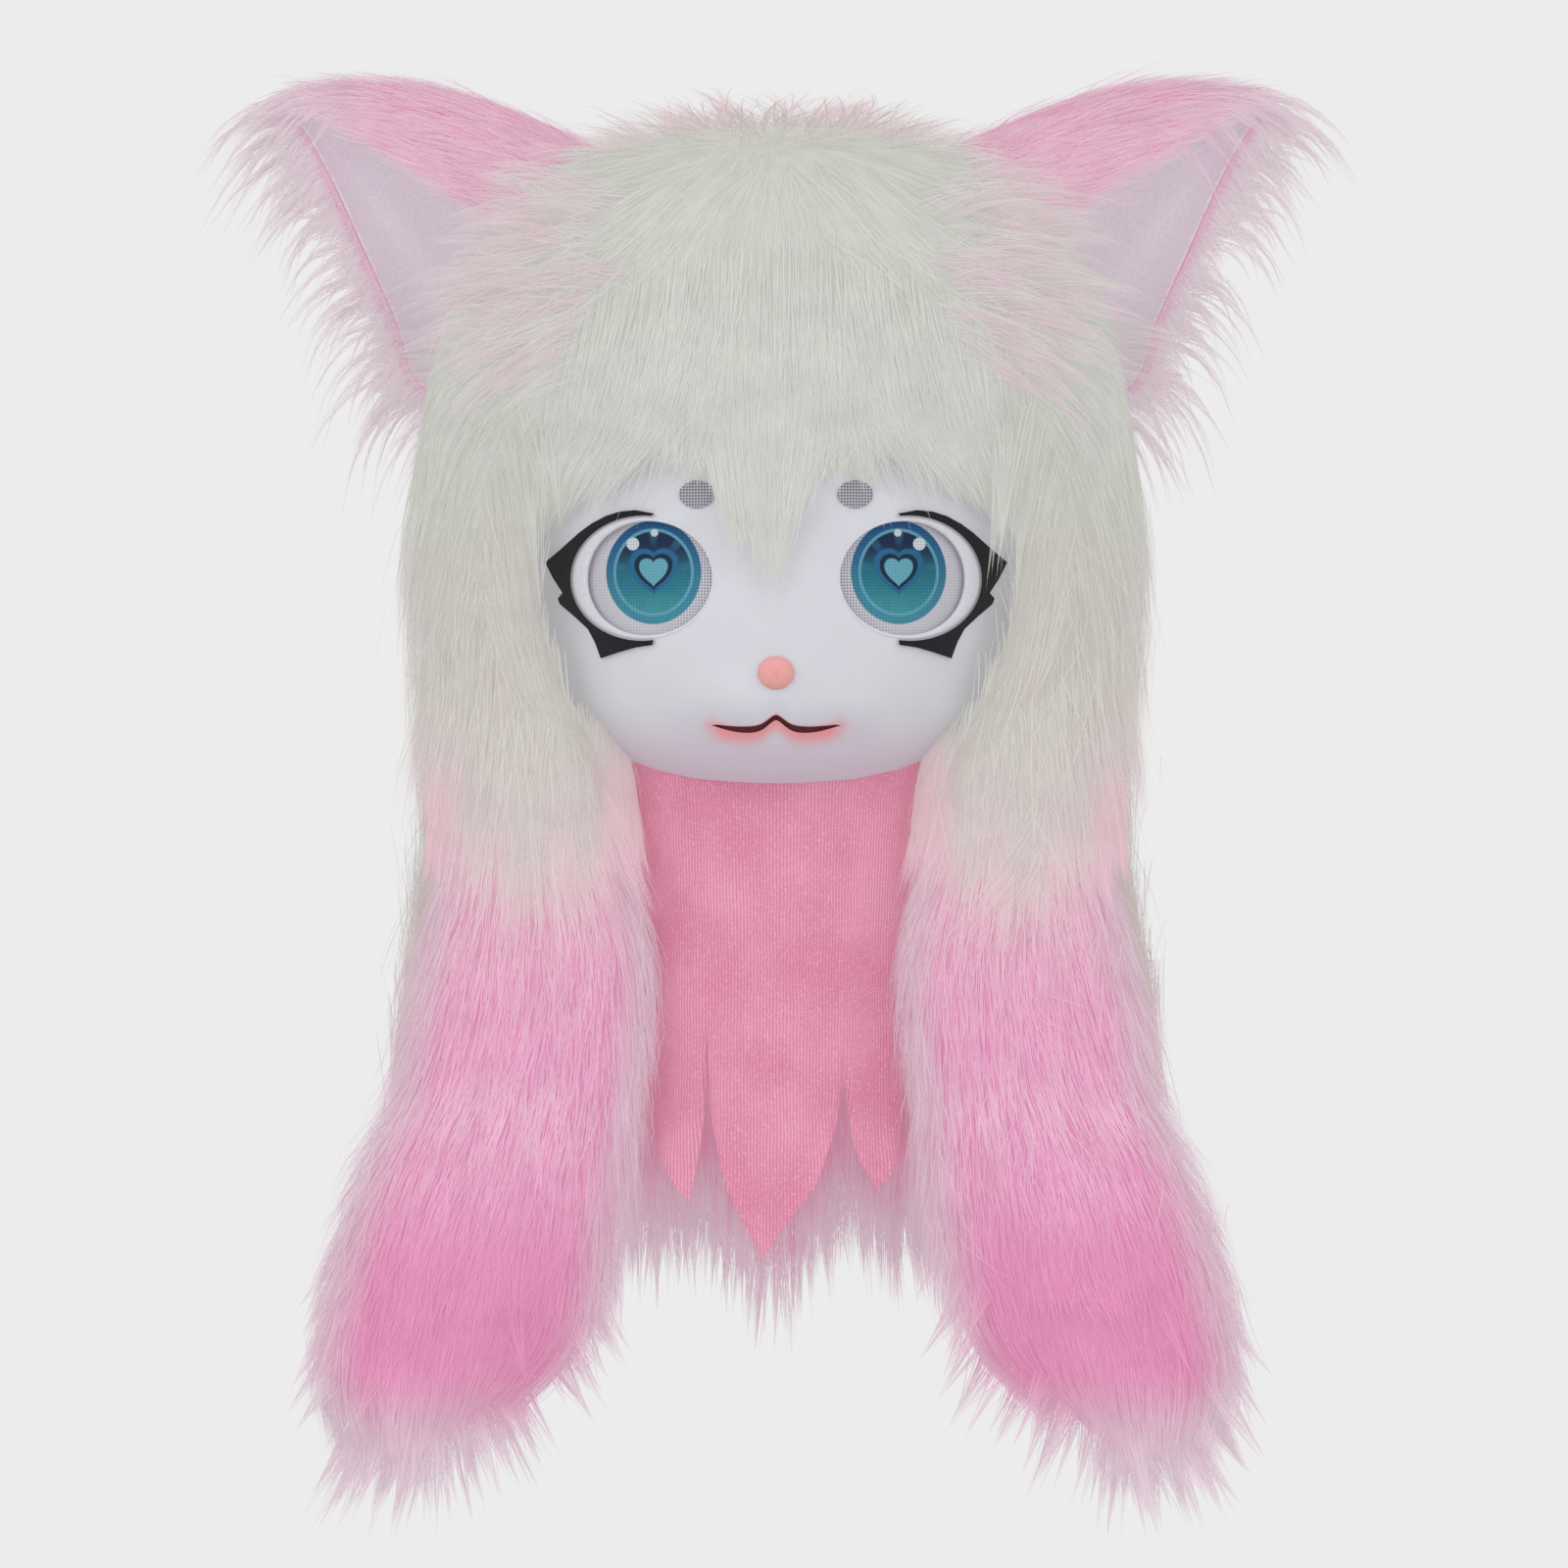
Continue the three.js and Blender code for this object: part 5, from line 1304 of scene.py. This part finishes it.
def fringe(material):
    """Hair over the forehead, in pointed locks that end at the table's edge."""
    rng = np.random.default_rng(12)
    locks, n, steps = FRINGE_LOCKS, thinned(FRINGE_STRANDS), WISP_STEPS
    middle = FACE_HALF * 1.07 * (np.linspace(-1, 1, locks) + rng.normal(0, 0.008, locks))
    centre = np.exp(-((middle / 32) ** 2))
    drawn = middle * (1 - 0.6 * centre) + np.sign(middle) * 9 * (1 - centre) - 3 * centre
    tip = CROWN_Z - smooth(FRINGE_ROWS, "x", "down", drawn / FACE_HALF) * HEAD_HEIGHT
    tip = tip + rng.normal(-1, 6, locks)
    own = rng.integers(0, locks, n)
    x = middle[own] * 0.8 + rng.normal(0, 9, n)
    z = -14 - 0.3 * np.abs(x) - 88 * rng.beta(1.7, 1.1, n)
    reach = 1 - 0.75 * rng.random(n) ** 1.7
    t = np.linspace(0, 1, steps) * reach[:, None]
    zs = z[:, None] + (tip[own] - z)[:, None] * t
    xs = x[:, None] + (drawn[own] - x)[:, None] * t**1.6 + (2.5 * np.sin(own * 2.4))[:, None] * t**2
    lie = rng.uniform(0.5, 1.5, n)[:, None] * 5 * np.sin(np.pi * np.minimum(1, 0.08 + t)) - 1 + 2.5 * t
    paths, normals = lifted(curtain_point, xs, zs, 0 * xs, 0.5, 0.5)
    normals = normals * np.where(normals[..., 1:2] > 0, -1, 1)
    paths = paths + normals * lie[..., None]
    parts = [dressed(paths, normals, own, white_tone, rng, FRINGE_WIDTH)]
    fur_piece("fringe_hair", parts, material, "white_fur", "fringe")


def face_side(turn_share, drop):
    """The wall of fur beside the face, from the fur's front back to the mask."""
    z = MASK_TOP_Z + 6 - drop * (MASK_TOP_Z - FUR_HEM_Z + 34)
    x = face_half(z) + 1.5
    near, far = np.minimum(curtain_depth(x, z), sleeve_front(x, z)), face_y(x, z)
    return stack(x, near + (far - near) * turn_share, z)


def curtain_depth(x, z):
    """How far back the fur's front is, without the face's opening."""
    wide, front, back = fur_section((FUR_TOP_Z - z) / (FUR_TOP_Z - FUR_HEM_Z))
    share = np.sqrt(np.maximum(0.02, 1 - (x / wide) ** 2))
    return (back - front) / 2 - (back + front) / 2 * share


def side_hair(side, material):
    """White hair beside the face and over the tail's top."""
    rng = np.random.default_rng(20 + side)
    sleeve = lambda u, v: tail_point(u, v, SLEEVE_THICK * (0.35 + 0.65 * ease(-0.01, 0.1, v)))
    u, v = scatter("sleeve", sleeve, (-np.pi, np.pi), (0.0, 0.16), rng)
    middle = np.exp(-((np.cos(u) / 0.6) ** 2))
    length = (42 + 46 * middle) * rng.uniform(0.45, 1.15, len(u))
    a, b = scatter("face_side", face_side, (0.0, 0.9), (0.02, 1.0), rng)
    inner_length = 50 + 20 * rng.random(len(a))
    inner_lean = -0.35 + rng.normal(0, 0.15, len(a))
    parts = [
        skin(sleeve, (-np.pi, np.pi), (0.045, 0.13), (49, 10), white_tone),
        skin(face_side, (0.0, 1.0), (0.0, 1.0), (8, 24), white_tone),
        coat("sleeve", sleeve, u, v, length, 0, 0.04, white_tone, rng),
        coat("face_side", face_side, a, b, inner_length, inner_lean, 0.06, white_tone, rng),
        face_wisps(rng),
    ]
    word = hand(side)
    fur_piece("locks_" + word, parts, material, "white_fur", "side_hair_" + word, side < 0)


def face_wisps(rng):
    """Locks that hang in front of the face's edge."""
    n = LOCKS["face"].count
    z = rng.uniform(-275, -110, n)
    x = face_half(z) + rng.uniform(3, 18, n)
    root = stack(x, np.minimum(curtain_depth(x, z), sleeve_front(x, z)) - 1, z)
    inward = 0.02 + 0.3 * ease(-180, -260, z)
    direction = unit(stack(-inward, 0.02, -1.0 + 0 * z) + rng.normal(0, 0.03, (n, 3)))
    fall = np.tile([-0.06, 0.1, -0.1], (n, 1))
    return wisps("face", root, direction, fall, rng.uniform(45, 90, n), white_tone, rng, (-0.3, -1, 0.1))


def side_tail(side, material):
    rng = np.random.default_rng(30 + side)
    u, v = scatter("tail", tail_point, (-np.pi, np.pi), (0.04, 0.93), rng)
    beside = np.abs(np.cos(u))
    low = ease(0.8, 1.0, v)
    length = 42 + 8 * beside**4 - 14 * low
    lean = -0.14 * np.cos(u) * np.sin(u) + rng.normal(0, 0.08, len(u))
    lift = 0.05 + 0.08 * low + 0.2 * beside**4 * ease(-0.1, 0.4, v)
    parts = [
        skin(tail_point, (-np.pi, np.pi), (0.05, 1.0), (49, 58), tail_tone),
        tail_foot(),
        coat("tail", tail_point, u, v, length, lean, lift, tail_tone, rng),
        foot_strands(rng),
    ]
    word = hand(side)
    obj = fur_piece("tail_" + word, parts, material, "pink_fur", "side_tail_" + word, side < 0)


def tail_foot():
    """The tail's rounded end."""
    turns = np.linspace(-np.pi, np.pi, 33)
    ring, centre = tail_point(turns, 1.0), tail_point(np.array([0.0, np.pi]), 1.0).mean(0)
    shares = ((1.0, 0), (0.86, -5), (0.62, -9), (0.32, -12), (0.05, -13))
    points = np.concatenate([centre + (ring - centre) * k + np.array([0, 0, dz]) for k, dz in shares])
    normals = unit(points - centre + np.array([0, 0, -6]))
    faces = grid_faces(len(shares), 33)[:, ::-1]
    return points, [faces], tail_tone(points, np.zeros(len(points)), np.zeros(len(points))), normals


def foot_strands(rng):
    """Long separate wisps from the tail's end and low on its sides."""
    n, m = LOCKS["tail_end"].count, TAIL_SIDE_LOCKS
    turn, inside = rng.uniform(-np.pi, np.pi, n), np.sqrt(rng.random(n))
    centre = tail_point(np.array([0.0, np.pi]), 1.0).mean(0)
    end = centre + (tail_point(turn, 0.98) - centre) * inside[:, None]
    end[:, 2] += 8 * inside
    flank = np.where(rng.random(m) < 0.62, 0, np.pi) + rng.normal(0, 0.5, m)
    beside = tail_point(flank, rng.uniform(0.66, 1.0, m))
    root = np.concatenate([end, beside])
    across = np.concatenate([(end - centre)[:, 0] / 34, np.cos(flank) * 1.3])
    direction = unit(stack(0.06 + 0.42 * across, rng.normal(0, 0.1, n + m), -0.85 + 0 * across))
    fall = stack(0.12 * np.sign(across) * rng.random(n + m), 0, -0.08 + 0 * across)
    length = np.concatenate([rng.uniform(38, 60, n), rng.uniform(30, 48, m)])
    return wisps("tail_end", root, direction, fall, length, tail_tone, rng)


def ear(side, material):
    rng = np.random.default_rng(40 + side)
    span = (math.radians(EAR_RIM_TURN), math.radians(EAR_LOWER_TURN))
    curl_and_back = lambda p: np.where(p[..., 1] < 30, 1.8, 0.8) * (1 - 0.6 * ease(205, 250, p[..., 0]))
    u, v = scatter("ear", ear_point, span, (-0.15, 1.0), rng, None, curl_and_back)
    length = 34 + 12 * rng.random(len(u))
    over_edge = ease(math.radians(-25), span[0], u)
    lean = rng.normal(0, 0.1, len(u)) - 0.3 * over_edge
    lift = 0.06 + 0.16 * ease(0.6, 1, np.cos(u)) * ease(0.1, 0.6, v)
    parts = [
        skin(ear_point, span, (-0.3, 1.02), (45, 30), ear_tone),
        ear_lip(),
        coat("ear", ear_point, u, v, length, lean, lift, ear_tone, rng),
        ear_fringe(rng),
        ear_plume(rng),
        ear_wisps(rng),
        ear_back_wisps(rng),
    ]
    word = hand(side)
    fur_piece("ear_coat_" + word, parts, material, "pink_fur", "ear_" + word, side < 0)


def ear_lip():
    """The two free edges of the ear, between its outside and its cup."""
    sheets, along = [], np.linspace(-0.3, 1.02, 40)
    for degrees in (EAR_LOWER_TURN, EAR_RIM_TURN):
        turn = np.full(40, math.radians(degrees))
        outer, inner = ear_point(turn, along, EAR_WALL), ear_point(turn, along, 0)
        points = np.stack([outer, (outer + inner) / 2 + np.array([0, -1.5, 0]), inner], 1).reshape(-1, 3)
        faces = grid_faces(40, 3)
        normals = np.tile([0.0, -1.0, 0.0], (len(points), 1))
        tint = np.tile(blend(EAR_ROOT, EAR_HAZE, 0.8), (len(points), 1))
        sheets.append((points, [faces if degrees < 0 else faces[:, ::-1]], tint, normals))
    return joined(*sheets)


def ear_fringe(rng):
    """A row of long thin wisps that sweep out from the lower edge and bend down."""
    n = LOCKS["ear_edge"].count
    along = rng.uniform(-0.28, 0.98, n)
    root = ear_point(math.radians(176), along, 3)
    direction = unit(stack(0.85, -0.12, 0.14 - 0.3 * ease(0.5, -0.2, along)) + rng.normal(0, 0.1, (n, 3)))
    fall = stack(-0.32 + rng.normal(0, 0.08, n), 0, -0.72 + rng.normal(0, 0.12, n))
    length = rng.uniform(30, 76, n) * (1 - 0.35 * ease(0.75, 1, along))
    long_ones = wisps("ear_edge", root, direction, fall, length, edge_tone, rng)
    m = thinned(EDGE_STRANDS)
    along = rng.uniform(-0.3, 1.0, m)
    edge = math.radians(177)
    root = blend(ear_point(edge, along, EAR_WALL), ear_point(edge, along, 0), rng.uniform(0, 1.1, m))
    root[:, 1] -= 2
    direction = unit(stack(0.8, -0.25, 0.0) + rng.normal(0, 0.2, (m, 3)))
    fall = np.tile([-0.2, 0, -0.7], (m, 1))
    paths = arcs(root, direction, fall, rng.uniform(6, 20, m), COAT_STEPS)
    normals = np.tile([0.0, -1.0, 0.2], (m, COAT_STEPS, 1))
    return joined(long_ones, dressed(paths, normals, np.arange(m) // 6, edge_tone, rng, EDGE_WIDTH))


def ear_plume(rng):
    """Thin wisps that run past the ear's tip and droop."""
    n = LOCKS["ear_tip"].count
    along = rng.uniform(0.6, 1.0, n)
    root = ear_point(np.radians(rng.uniform(-50, 120, n)), along, EAR_WALL * 0.8)
    direction = unit(stack(0.95, -0.04, 0.2 + 0.2 * rng.random(n)))
    fall = stack(-0.08 - 0.15 * rng.random(n), 0, -0.6 - 0.45 * rng.random(n))
    length = np.minimum(rng.uniform(46, 88, n), (308 - root[:, 0]) / 0.85)
    return wisps("ear_tip", root, direction, fall, length, ear_tone, rng)


def ear_wisps(rng):
    """Sparse hair from the head across the foot of the ear's cloth."""
    n = LOCKS["ear_front"].count
    along, reach = rng.uniform(-0.12, 0.1, n), rng.uniform(-1, 0.3, n)
    high = np.where(reach > 0, EAR_UPPER, EAR_LOWER) * 0.9
    x = EAR_X + math.sin(EAR_LEAN) * along * EAR_LENGTH - math.cos(EAR_LEAN) * reach * high
    z = EAR_Z + math.cos(EAR_LEAN) * along * EAR_LENGTH + math.sin(EAR_LEAN) * reach * high
    root = stack(x, EAR_Y - 2, z)
    direction = unit(stack(0.95, -0.16, 0.22) + rng.normal(0, 0.08, (n, 3)))
    fall = np.tile([-0.08, 0.1, -0.42], (n, 1))
    return wisps("ear_front", root, direction, fall, rng.uniform(30, 68, n), base_tone, rng)


def ear_back_wisps(rng):
    """Hair from the head over the foot of the ear's back."""
    n = LOCKS["ear_back"].count
    turn, along = np.radians(rng.uniform(25, 168, n)), rng.uniform(-0.3, 0.06, n)
    root = ear_point(turn, along, EAR_WALL + 1)
    direction = unit(stack(0.72, 0.1, 0.42) + rng.normal(0, 0.1, (n, 3)))
    fall = np.tile([0.0, 0.02, -0.4], (n, 1))
    return wisps("ear_back", root, direction, fall, rng.uniform(24, 46, n), base_tone, rng, (0.3, 1.0, 0.3))


LINING_COLUMNS, LINING_ROWS = 44, 34


def ear_lining(side, material):
    """Smooth cloth in the ear's cup, with a fold down its middle."""
    turns = np.linspace(math.radians(EAR_RIM_TURN), math.radians(175), LINING_COLUMNS)
    u, v = np.meshgrid(turns, np.linspace(-0.36, 1.0, LINING_ROWS))
    far, near = ear_point(u, v, -0.6), ear_point(u, v, -2.2)
    near[..., 1] -= 5 * np.exp(-(((u - 1.9) / 0.25) ** 2)) * np.exp(-(((v - 0.35) / 0.3) ** 2))
    points = np.concatenate([far.reshape(-1, 3), near.reshape(-1, 3)])
    points[:, 0] *= side
    faces = slab_faces(LINING_ROWS, LINING_COLUMNS)
    word = hand(side)
    obj = make_mesh("ear_cloth_" + word, points, [f[:, ::-1] for f in faces] if side > 0 else faces)
    finish_piece(obj, material, "ear_cloth", "ear_lining_" + word)


def neck_fur(material):
    rng = np.random.default_rng(50)
    end = NECK_FUR_LENGTH / BIB_LENGTH
    outer = lambda u, v: neck_point(u, v, NECK_FUR_THICK)
    inner = lambda u, v: neck_point(-u, v, 1.5)
    u, v = scatter("neck", outer, (-0.1, np.pi + 0.1), (0.0, end), rng)
    a, b = scatter("neck_inside", inner, (-np.pi + 0.05, -0.05), (0.45, end + 0.02), rng)
    parts = [
        skin(outer, (-0.1, np.pi + 0.1), (-0.05, end), (40, 24), neck_tone),
        skin(inner, (-np.pi + 0.03, -0.03), (-0.05, end), (40, 24), neck_tone),
        coat("neck", outer, u, v, 62.0, 0, 0.08, neck_tone, rng),
        coat("neck_inside", inner, a, b, 48.0, 0, 0.04, neck_tone, rng),
        neck_wisps(rng),
        hem_wisps(outer, (-0.1, np.pi + 0.1), (end - 0.14, end), 130, neck_tone, rng, (44, 66)),
        hem_wisps(outer, (-0.16, 0.0), (0.1, end), 40, neck_tone, rng, (44, 66), 0.2),
        hem_wisps(outer, (np.pi, np.pi + 0.16), (0.1, end), 40, neck_tone, rng, (44, 66), 0.2),
    ]
    fur_piece("neck_coat", parts, material, "pink_fur", "neck_fur")


def neck_wisps(rng):
    """Pointed wisps at the foot of the neck's fur, longest in the middle."""
    n = LOCKS["neck"].count
    x = rng.uniform(-82, 84, n)
    middle, sides = np.exp(-((x / 26) ** 2)), np.exp(-(((np.abs(x) - 62) / 18) ** 2))
    tip = 562 + 50 * middle + 24 * sides - 26 * rng.random(n)
    length = rng.uniform(64, 104, n)
    half, deep = NECK_WIDTH / 2 * 0.89, NECK_DEPTH / 2 * 0.78
    behind = rng.uniform(0.15, 0.9, n) * deep * np.sqrt(np.maximum(0.05, 1 - (x / half) ** 2))
    root = stack(x, NECK_Y + behind, -(tip - length))
    direction = unit(stack(rng.normal(0, 0.04, n), rng.normal(0, 0.05, n), -1.0))
    fall = stack(0.05 * np.sign(x) * rng.random(n), 0, 0)
    return wisps("neck", root, direction, fall, length, neck_tone, rng)


def back_hair(material):
    rng = np.random.default_rng(60)
    inner = lambda u, v: back_hair_point(-u, v, -20)
    span = (math.radians(7), math.radians(173))
    u, v = scatter("back", back_hair_point, span, (0.0, 1.0), rng)
    a, b = scatter("back_inside", inner, (-span[1], -span[0]), (0.4, 1.0), rng)
    parts = [
        skin(back_hair_point, span, (-0.03, 1.0), (60, 20), back_tone),
        skin(inner, (-span[1], -span[0]), (-0.03, 1.0), (60, 20), back_tone),
        coat("back", back_hair_point, u, v, 62.0, 0, 0.06, back_tone, rng),
        coat("back_inside", inner, a, b, 52.0, 0, 0.04, back_tone, rng),
        hem_wisps(back_hair_point, span, (0.72, 0.98), 190, back_tone, rng, (40, 66)),
        hem_wisps(back_hair_point, (0.0, 0.24), (0.0, 0.85), 60, back_tone, rng, (40, 66), 0.5),
        hem_wisps(back_hair_point, (np.pi - 0.24, np.pi), (0.0, 0.85), 60, back_tone, rng, (40, 66), 0.5),
    ]
    fur_piece("back_coat", parts, material, "white_fur", "back_hair")


def bib():
    """Cloth round the front of the neck, with a raw cut hem in long points."""
    columns, rows_n = 261, 56
    turn = np.linspace(math.radians(184), math.radians(356), columns)
    drop = np.linspace(0, 1, rows_n)
    x = NECK_WIDTH / 2 * 0.89 * np.cos(turn)
    rng = np.random.default_rng(70)
    ragged = np.convolve(rng.normal(0, 1, columns), np.ones(2) / 2, "same") * 0.004
    hem = np.interp(x / (NECK_WIDTH / 2), HEM_ROWS["x"], HEM_ROWS["down"]) + ragged
    top = 0.02 + 0.055 * np.sin(turn) ** 2
    u, t = np.meshgrid(turn, drop)
    v = top + (hem - top) * t
    fold = 1.1 * np.sin(u * 9 + 1.5) * ease(0.1, 0.8, t) + 0.8 * np.sin(u * 17 + t * 2) * ease(0.3, 1, t)
    curl = 3.0 * ease(0.88, 1.0, t) * np.sin(u * 13)
    base, normal = lifted(neck_point, u, v, 0)
    points = (base + normal * (fold + curl)[..., None]).reshape(-1, 3)
    steps = np.linalg.norm(np.diff(neck_point(turn, 0.4), axis=0), axis=1)
    girth = np.cumsum(np.concatenate([[0], steps]))
    uv = np.stack([np.broadcast_to(girth, u.shape), v * BIB_LENGTH], -1).reshape(-1, 2)
    obj = make_mesh("bib_cloth", points, [grid_faces(rows_n, columns)[:, ::-1]], uv=uv)
    finish_piece(obj, knit_material(), "bib_knit", "bib")


# The setting


def setting():
    scene = bpy.context.scene
    scene.view_settings.view_transform = "Standard"
    world = bpy.data.worlds.new("studio")
    scene.world = world
    world.use_nodes = True
    world.node_tree.nodes["Background"].inputs[0].default_value = (*srgb(236, 236, 236).tolist(), 1)
    world.node_tree.nodes["Background"].inputs[1].default_value = 1.0
    camera = bpy.data.objects.new("camera", bpy.data.cameras.new("camera"))
    scene.collection.objects.link(camera)
    camera.data.lens = 36 * 6.0 / 0.8
    camera.data.clip_end = 60
    camera.location = (0.004, -6.07, -0.305)
    camera.rotation_euler = (math.radians(90), 0, 0)
    scene.camera = camera
    for name, place, power, size in (
        ("key_left", (-1.9, -2.7, 0.8), 28.5, 2.4),
        ("key_right", (1.7, -2.9, 0.7), 24, 2.4),
        ("back", (0.3, 2.4, 1.4), 14, 2.0),
    ):
        light = bpy.data.objects.new(name, bpy.data.lights.new(name, "AREA"))
        light.data.energy, light.data.size = power, size
        light.location = place
        aim = np.array([0, 0, -0.25]) - np.array(place)
        yaw, pitch = math.atan2(aim[1], aim[0]), math.atan2(aim[2], math.hypot(aim[0], aim[1]))
        light.rotation_euler = (math.pi / 2 + pitch, 0, yaw - math.pi / 2)
        scene.collection.objects.link(light)
    turn = np.linspace(0, 2 * np.pi, 96, endpoint=False)
    rim = stack(2600 * np.cos(turn), 2600 * np.sin(turn), -1000)
    floor = make_mesh("floor", rim, [np.arange(96)[None]])
    pale = plain_cloth("floor_paint", srgb(214, 214, 214), srgb(211, 211, 211), 6.0, 0.9, 0.0)
    floor.data.materials.append(pale)


setting()
face_mask()
hood_shell()
face_details()
bib()
white_fur = fur_material("white_fur")
pink_fur = fur_material("pink_fur")
ear_cloth = plain_cloth("ear_cloth", srgb(210, 198, 208), srgb(204, 191, 202), 500.0, glow=EAR_GLOW)
head_fur(white_fur)
fringe(white_fur)
neck_fur(pink_fur)
back_hair(white_fur)
for side in (1, -1):
    side_hair(side, white_fur)
    side_tail(side, pink_fur)
    ear(side, pink_fur)
    ear_lining(side, ear_cloth)
